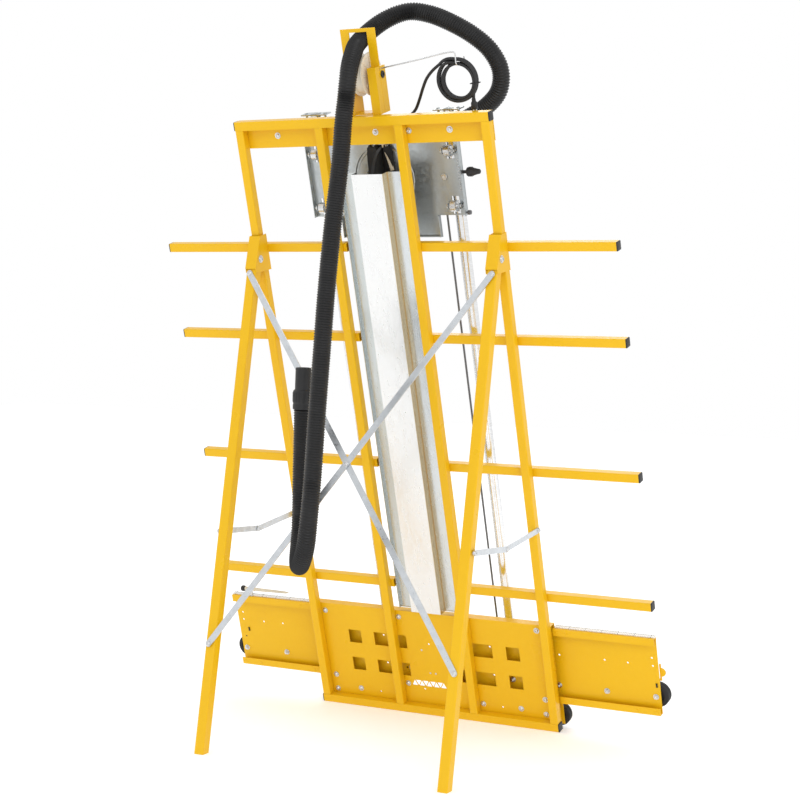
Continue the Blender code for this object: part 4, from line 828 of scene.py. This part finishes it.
def make_stand_fittings():
    """Bolts and rivets of the folding stand: leg pivots, braces and stays."""
    pivots = []
    for side in (-1, 1):
        for x, way in ((side * 0.4022, side), (side * 0.3660, -side)):
            pivots.append(moved(head(0.0075, 0.004), along((way, 0, 0), (x, *LEG_PIVOT))))
    make("leg_pivot_bolts", joined(pivots), "steel", "frame")
    normal = (0, math.cos(LEG_ANGLE), math.sin(LEG_ANGLE))
    rivet = head(0.0062, 0.003, 1.25)
    (high, low), (near, far) = BRACE_ENDS, BRACE_FACES
    spots = [
        (OUTER_UPRIGHT_X, high, near), (-OUTER_UPRIGHT_X, low, near), (-OUTER_UPRIGHT_X, high, far),
        (OUTER_UPRIGHT_X, low, far), (0, BRACE_CROSS, far),
    ]
    make("brace_bolts", joined([moved(rivet, along(normal, (x, *on_leg(d, o)))) for x, d, o in spots]), "steel",
         "stand")
    for side, word in ((-1, "left"), (1, "right")):
        pin = moved(rivet, along((side, 0, 0), (side * 0.4033, *STAY_UPRIGHT)))
        make(f"stay_upright_pin_{word}", pin, "steel", "frame")
        pin = moved(rivet, along((side, 0, 0), (side * 0.4066, *on_leg(STAY_LEG, 0))))
        make(f"stay_leg_pin_{word}", pin, "steel", "stand")
        knuckle = turned([(0, 0), (0.0078, 0), (0.0078, 0.0016), (0.005, 0.0030), (0, 0.0032)], 20)
        pin = moved(knuckle, along((side, 0, 0), (side * 0.4066, *stay_middle())))
        make(f"stay_knuckle_{word}", pin, "steel", f"stay_rear_{word}")


def stay_middle():
    """The stays' middle pivot: on circles of the two link lengths about the end pivots, on the lower side."""
    a = np.array(STAY_UPRIGHT)
    b = np.array(on_leg(STAY_LEG, 0))
    front, rear = STAY_LINKS
    gap = np.linalg.norm(b - a)
    reach = min(gap, front + rear - 1e-5)
    step = (reach ** 2 + front ** 2 - rear ** 2) / (2 * reach)
    drop = math.sqrt(max(front ** 2 - step ** 2, 0))
    unit = (b - a) / gap
    return a + unit * step + np.array((unit[1], -unit[0])) * drop


# ---- rollers and wheels ----
def roller_profile(radius, width, hub):
    """Solid tyre with rounded shoulders, a tread groove, a dished web and a hub."""
    e = 0.003
    t = np.linspace(0, np.pi / 2, 5)
    low = [(radius - e + e * math.sin(a), e - e * math.cos(a)) for a in t]
    high = [(radius - e + e * math.cos(a), width - e + e * math.sin(a)) for a in t]
    web = 0.62 * radius
    return [
        (0.0051, 0), (hub, 0), (hub + 0.0015, 0.004), (web, 0.004), (web + 0.001, 0), *low,
        (radius, 0.42 * width), (radius - 0.0008, 0.46 * width), (radius - 0.0008, 0.54 * width),
        (radius, 0.58 * width), *high, (web + 0.001, width), (web, width - 0.004), (hub + 0.0015, width - 0.004),
        (hub, width),
        (0.0051, width), (0.0051, 0),
    ]


def make_rollers():
    """Sheet rollers and transport wheels, in front of the cover and the wings."""
    for side, word in ((-1, "left"), (1, "right")):
        for number, x in enumerate(ROLLER_XS, 1):
            name = f"sheet_roller_{word}_{number}"
            shape = moved(turned(roller_profile(0.036, 0.025, 0.011), 56), along(Y, (side * x, -0.0791, ROLLER_Z)))
            make(f"roller_{word}_{number}", shape, "rubber", name, replaces=(name,))
        name = f"transport_wheel_{word}"
        place = (side * CASTER_X, -0.0761, CASTER_Z)
        shape = moved(turned(roller_profile(0.0355, 0.022, 0.012), 56), along(Y, place))
        make(f"caster_{word}", shape, "rubber", name, replaces=(name,))


# ---- the carriage and the saw ----
def make_carriage():
    """Guide wheels with their axles and brackets, and the carriage's screws, flanges and knobs."""
    wheel_y = GUIDE_Y + GUIDE_R + WHEEL_R + GAP
    ring = [
        (0.0041, 0), (0.0070, 0), (0.0074, 0.0010), (0.0120, 0.0010), (0.0125, 0), (0.0152, 0), (WHEEL_R, 0.0008),
        (WHEEL_R, 0.0172), (0.0152, 0.018), (0.0125, 0.018), (0.0120, 0.017), (0.0074, 0.017), (0.0070, 0.018),
        (0.0041, 0.018), (0.0041, 0),
    ]
    pins, ears, screws = [], [], []
    for sx, across in ((-1, "left"), (1, "right")):
        for sz, level in ((1, "upper"), (-1, "lower")):
            x, z = sx * GUIDE_X, CARRIAGE_Z + sz * WHEEL_OFFSET_Z
            name = f"guide_wheel_{level}_{across}"
            make(f"bearing_{level}_{across}", moved(turned(ring, 40), along(X, (x - 0.009, wheel_y, z))), "steel",
                 name, replaces=(name,))
            pins.append(moved(turned([(0, 0), (0.0062, 0), (0.0062, 0.003), (0.0039, 0.003), (0.0039, 0.041),
                                      (0.0062, 0.041), (0.0062, 0.045), (0, 0.045)], 16),
                              along(X, (x - 0.0225, wheel_y, z))))
            for dx, foot0, foot1 in ((-0.0190, -0.006, 0.0025), (0.0160, 0, 0.0085)):
                ears.append(block(x + dx, x + dx + 0.0025, CARRIAGE_BACK_Y + GAP, wheel_y + 0.008, z - 0.008,
                                  z + 0.008))
                ears.append(block(x + dx + foot0, x + dx + foot1, CARRIAGE_BACK_Y + 0.0002, CARRIAGE_BACK_Y + 0.0024,
                                  z - 0.010, z + 0.010))
            screws += [(x + 0.0245, z), (x - 0.0245, z)]
    make("wheel_axles", joined(pins), "steel", "carriage")
    make("wheel_brackets", joined(ears), "zinc", "carriage", 0.0004)
    spots = [(x, CARRIAGE_BACK_Y + 0.0002, z) for x, z in screws]
    edge = [
        (-0.2335, CARRIAGE_BACK_Y + 0.0001, CARRIAGE_Z + d) for d in (-0.034, -0.019, -0.002, 0.014, 0.030, 0.046)
    ]
    make("carriage_screws", joined([moved(head(0.0040, 0.003), along(BACK, p)) for p in spots]), "steel", "carriage")
    eyelet = turned([(0.0030, 0), (0.0056, 0), (0.0056, 0.0008), (0.0048, 0.0016), (0.0034, 0.0016), (0.0030, 0)], 18)
    scattered("carriage_eyelets", eyelet, edge, BACK, "steel", "carriage")
    grommet = turned([(0, 0), (0.0085, 0), (0.0095, 0.001), (0.0085, 0.0026), (0.0050, 0.0026), (0.0045, 0.0008),
                      (0, 0.0008)], 28)
    spots = [(s * 0.185, CARRIAGE_BACK_Y, CARRIAGE_Z + 0.002) for s in (-1, 1)]
    scattered("eccentric_bushes", grommet, spots, BACK, "steel", "carriage")
    flange = []
    for s in (-1, 1):
        x0, x1 = sorted((s * 0.157, s * 0.1545))
        flange.append(block(x0, x1, CARRIAGE_BACK_Y, CARRIAGE_BACK_Y + 0.012, 1.464, CARRIAGE_Z - 0.105))
        x0, x1 = sorted((s * 0.2442, s * 0.2420))
        flange.append(block(x0, x1, CARRIAGE_BACK_Y, CARRIAGE_BACK_Y + 0.015, CARRIAGE_Z - 0.106, CARRIAGE_Z + 0.106))
    roll = np.array([(x, CARRIAGE_BACK_Y + 0.0028, 1.4648) for x in np.linspace(-0.154, 0.154, 20)])
    make("carriage_flanges", joined(flange), "zinc", "carriage", 0.0005)
    make("apron_rolled_edge", swept(roll, 0.0028, 14), "zinc", "carriage")
    knob = [
        (0, 0), (0.0048, 0), (0.0048, 0.012), (0.0120, 0.0135), (0.0127, 0.016), (0.0127, 0.028), (0.0112, 0.031),
        (0.0080, 0.043), (0.0068, 0.050), (0.0040, 0.052), (0, 0.052),
    ]
    ridges = [
        moved(block(0.0118, 0.0134, -0.0013, 0.0013, 0.0155, 0.0285), Matrix.Rotation(t, 4, "Z"))
        for t in np.arange(10) * math.pi / 5
    ]
    place = (-0.2448, CARRIAGE_BACK_Y - 0.0015, CARRIAGE_Z + 0.0145)
    make("lock_handle", moved(joined([turned(knob, 32), *ridges]), along((-1, 0, 0), place)), "black", "lock_knob",
         replaces=("lock_knob",))
    small = turned([
        (0, 0), (0.003, 0), (0.003, 0.004), (0.0062, 0.005), (0.0068, 0.007), (0.0062, 0.013), (0, 0.0135),
    ], 20)
    make("index_knob", moved(small, along((-1, 0, 0), (-0.2442, CARRIAGE_BACK_Y + 0.006, 1.533))), "dark", "carriage")


def make_saw():
    """Saw on the turntable: guard halves, motor, handle and blade, in the leaning frame's axes."""
    face = -0.1266

    def rim(radius):
        a = math.acos(min(1.0, (face - GAP - BLADE_Y) / radius))
        u = np.linspace(a, 2 * np.pi - a, 72)
        return np.stack((BLADE_Y + radius * np.cos(u), CARRIAGE_Z + radius * np.sin(u)), axis=-1)

    to_x = Matrix(((0, 0, 1), (1, 0, 0), (0, 1, 0))).to_4x4()
    sides = [
        moved(prism(rim(GUARD_R), 0.0095), Matrix.Translation((x, 0, 0)) @ to_x) for x in (-0.016, 0.0065)
    ]
    band = np.vstack((rim(GUARD_R), rim(GUARD_R - 0.0063)[::-1]))
    sides.append(moved(prism(band, 0.0135), Matrix.Translation((-0.0068, 0, 0)) @ to_x))
    make("upper_guard", joined(sides), "casing", "turntable", 0.0022, replaces=("saw_body",))
    u = np.linspace(-0.35, 1.0, 60)
    drop = 0.055 * u + 0.012 * u * u
    strap = np.stack((-0.012 - 0.020 * u, -0.112 + 0.006 * u, CARRIAGE_Z + 0.094 - drop), axis=-1)
    make("hose_strap", swept(strap, 0.0055, 14, squash=0.35), "beige", "turntable")
    fins = []
    for k in range(9):
        x = 0.050 + 0.0072 * k
        fins += [(0.0436, x), (0.0436, x + 0.0036), (0.0412, x + 0.0044), (0.0412, x + 0.0064)]
    profile = [(0, 0.0150), (0.050, 0.0150), (0.052, 0.017), (0.052, 0.030), (0.0485, 0.036), (0.0440, 0.040), *fins,
               (0.0430, 0.118), (0.0430, 0.138), (0.0400, 0.146), (0.0300, 0.1495), (0.0120, 0.150), (0, 0.150)]
    make("saw_motor", moved(turned(profile, 56), along(X, (0, MOTOR_Y, CARRIAGE_Z))), "casing", "turntable")
    slots = [
        moved(block(0.018, 0.034, -0.0016, 0.0016, 0.1485, 0.1503), Matrix.Rotation(a, 4, "Z"))
        for a in np.arange(12) * math.pi / 6
    ]
    make("motor_vents", moved(joined(slots), along(X, (0, MOTOR_Y, CARRIAGE_Z))), "black", "turntable")
    brushes = [
        moved(turned([(0, 0), (0.0075, 0), (0.0075, 0.003), (0.0060, 0.0042), (0, 0.0042)], 20),
              along((0, 0, s), (0.128, MOTOR_Y, CARRIAGE_Z + s * 0.0420))) for s in (-1, 1)
    ]
    make("brush_caps", joined(brushes), "black", "turntable")
    bends = (
        (-0.228, -0.066), (-0.275, -0.050), (-0.318, -0.034), (-0.331, -0.012), (-0.331, 0.034), (-0.320, 0.054),
        (-0.280, 0.062), (-0.2325, 0.0580),
    )
    loop = smooth_path([(HANDLE_X, y, CARRIAGE_Z + dz) for y, dz in bends], 0.003)
    run = np.linspace(0, 1, len(loop))
    swell = 0.0135 - 0.0010 * np.cos(6 * np.pi * run)
    make("saw_handle", swept(loop, swell, 24, squash=1.0), "casing", "turntable")
    middle = loop[int(0.36 * len(loop)):int(0.64 * len(loop))]
    ribbed = 0.0142 + 0.0005 * np.cos(np.arange(len(middle)) * np.pi)
    make("handle_grip", swept(middle, ribbed, 24), "grip", "turntable")
    key = [(0.0, 0.0), (0.012, 0.002), (0.0105, 0.012), (0.012, 0.022), (0.0, 0.024)]
    trigger = moved(prism(key, 0.011), Matrix.Translation((-0.0085, -0.3195, CARRIAGE_Z + 0.008)) @ to_x)
    make("trigger_key", trigger, "black", "trigger", 0.0012, replaces=("trigger",))
    teeth = []
    for k in range(36):
        for share, r in ((0.0, 0.0870), (0.10, 0.0920), (0.28, 0.0912), (0.50, 0.0858), (0.80, 0.0855)):
            a = 2 * math.pi * (k + share) / 36
            teeth.append((r * math.cos(a), r * math.sin(a)))
    plate = moved(prism(teeth, 0.0018), along(X, (-0.0009, BLADE_Y, CARRIAGE_Z)))
    flanges = [
        moved(turned([(0, 0), (0.0150, 0), (0.0150, 0.0014), (0.009, 0.0022), (0, 0.0022)], 32),
              along((s, 0, 0), (s * 0.0009, BLADE_Y, CARRIAGE_Z))) for s in (-1, 1)
    ]
    make("toothed_blade", joined([plate, *flanges]), "blade", "blade", replaces=("saw_blade",))
    ring_bolts = [
        (0.105 * math.cos(a), face, CARRIAGE_Z + 0.105 * math.sin(a))
        for a in np.radians((40, 140, 220, 320, 0, 180))
    ]
    scattered("turntable_screws", head(0.0040, 0.003), ring_bolts, FRONT, "steel", "turntable")
    boot = []
    for x0, x1, size in ((-0.034, -0.0065, 0.096), (0.0065, 0.046, 0.096)):
        u = np.linspace(0, 2 * np.pi, 120, endpoint=False)
        ripple = 1 + 0.045 * np.cos(18 * u)
        cx, half = (x0 + x1) / 2, (x1 - x0) / 2
        a = np.sign(np.cos(u)) * np.abs(np.cos(u)) ** 0.4 * half * 0.97
        b = np.sign(np.sin(u)) * np.abs(np.sin(u)) ** 0.55 * size * ripple
        boot.append(moved(prism(np.stack((b, a + cx), axis=-1), 0.016), Matrix.Translation((0, -0.1232, CARRIAGE_Z))
                          @ Matrix(((0, 1, 0), (0, 0, 1), (1, 0, 0))).to_4x4()))
    make("dust_brush", joined(boot), "rubber", "turntable", 0.0012)
    shroud = turned([(0.060, 0), (0.088, 0), (0.090, 0.002), (0.088, 0.006), (0.060, 0.006), (0.060, 0)], 64)
    make("turntable_ring", moved(shroud, along(FRONT, (0, -0.1206, CARRIAGE_Z))), "zinc", "turntable")


# ---- finishes of the carried-over nodes ----
NODE_FINISH = {"dust_channel": "channel", "carriage_plate": "zinc", "turntable": "zinc", "lower_guard": "casing"}


def refinish_nodes():
    for name, node in frame["nodes"].items():
        if name.startswith(("brace", "stay")):
            finish = "flat_bar"
        else:
            finish = NODE_FINISH.get(name, "yellow")
        for slot in node.material_slots:
            slot.material = FINISHES[finish]


def main():
    make_camera()
    make_hose()
    make_power_cord()
    make_hook_and_cable()
    make_studio()
    refinish_nodes()
    make_end_caps()
    make_fasteners()
    make_scales()
    make_stop_rod()
    make_guides()
    make_gantry()
    make_stand_fittings()
    make_rollers()
    make_carriage()
    make_saw()


main()
bpy.context.view_layer.update()
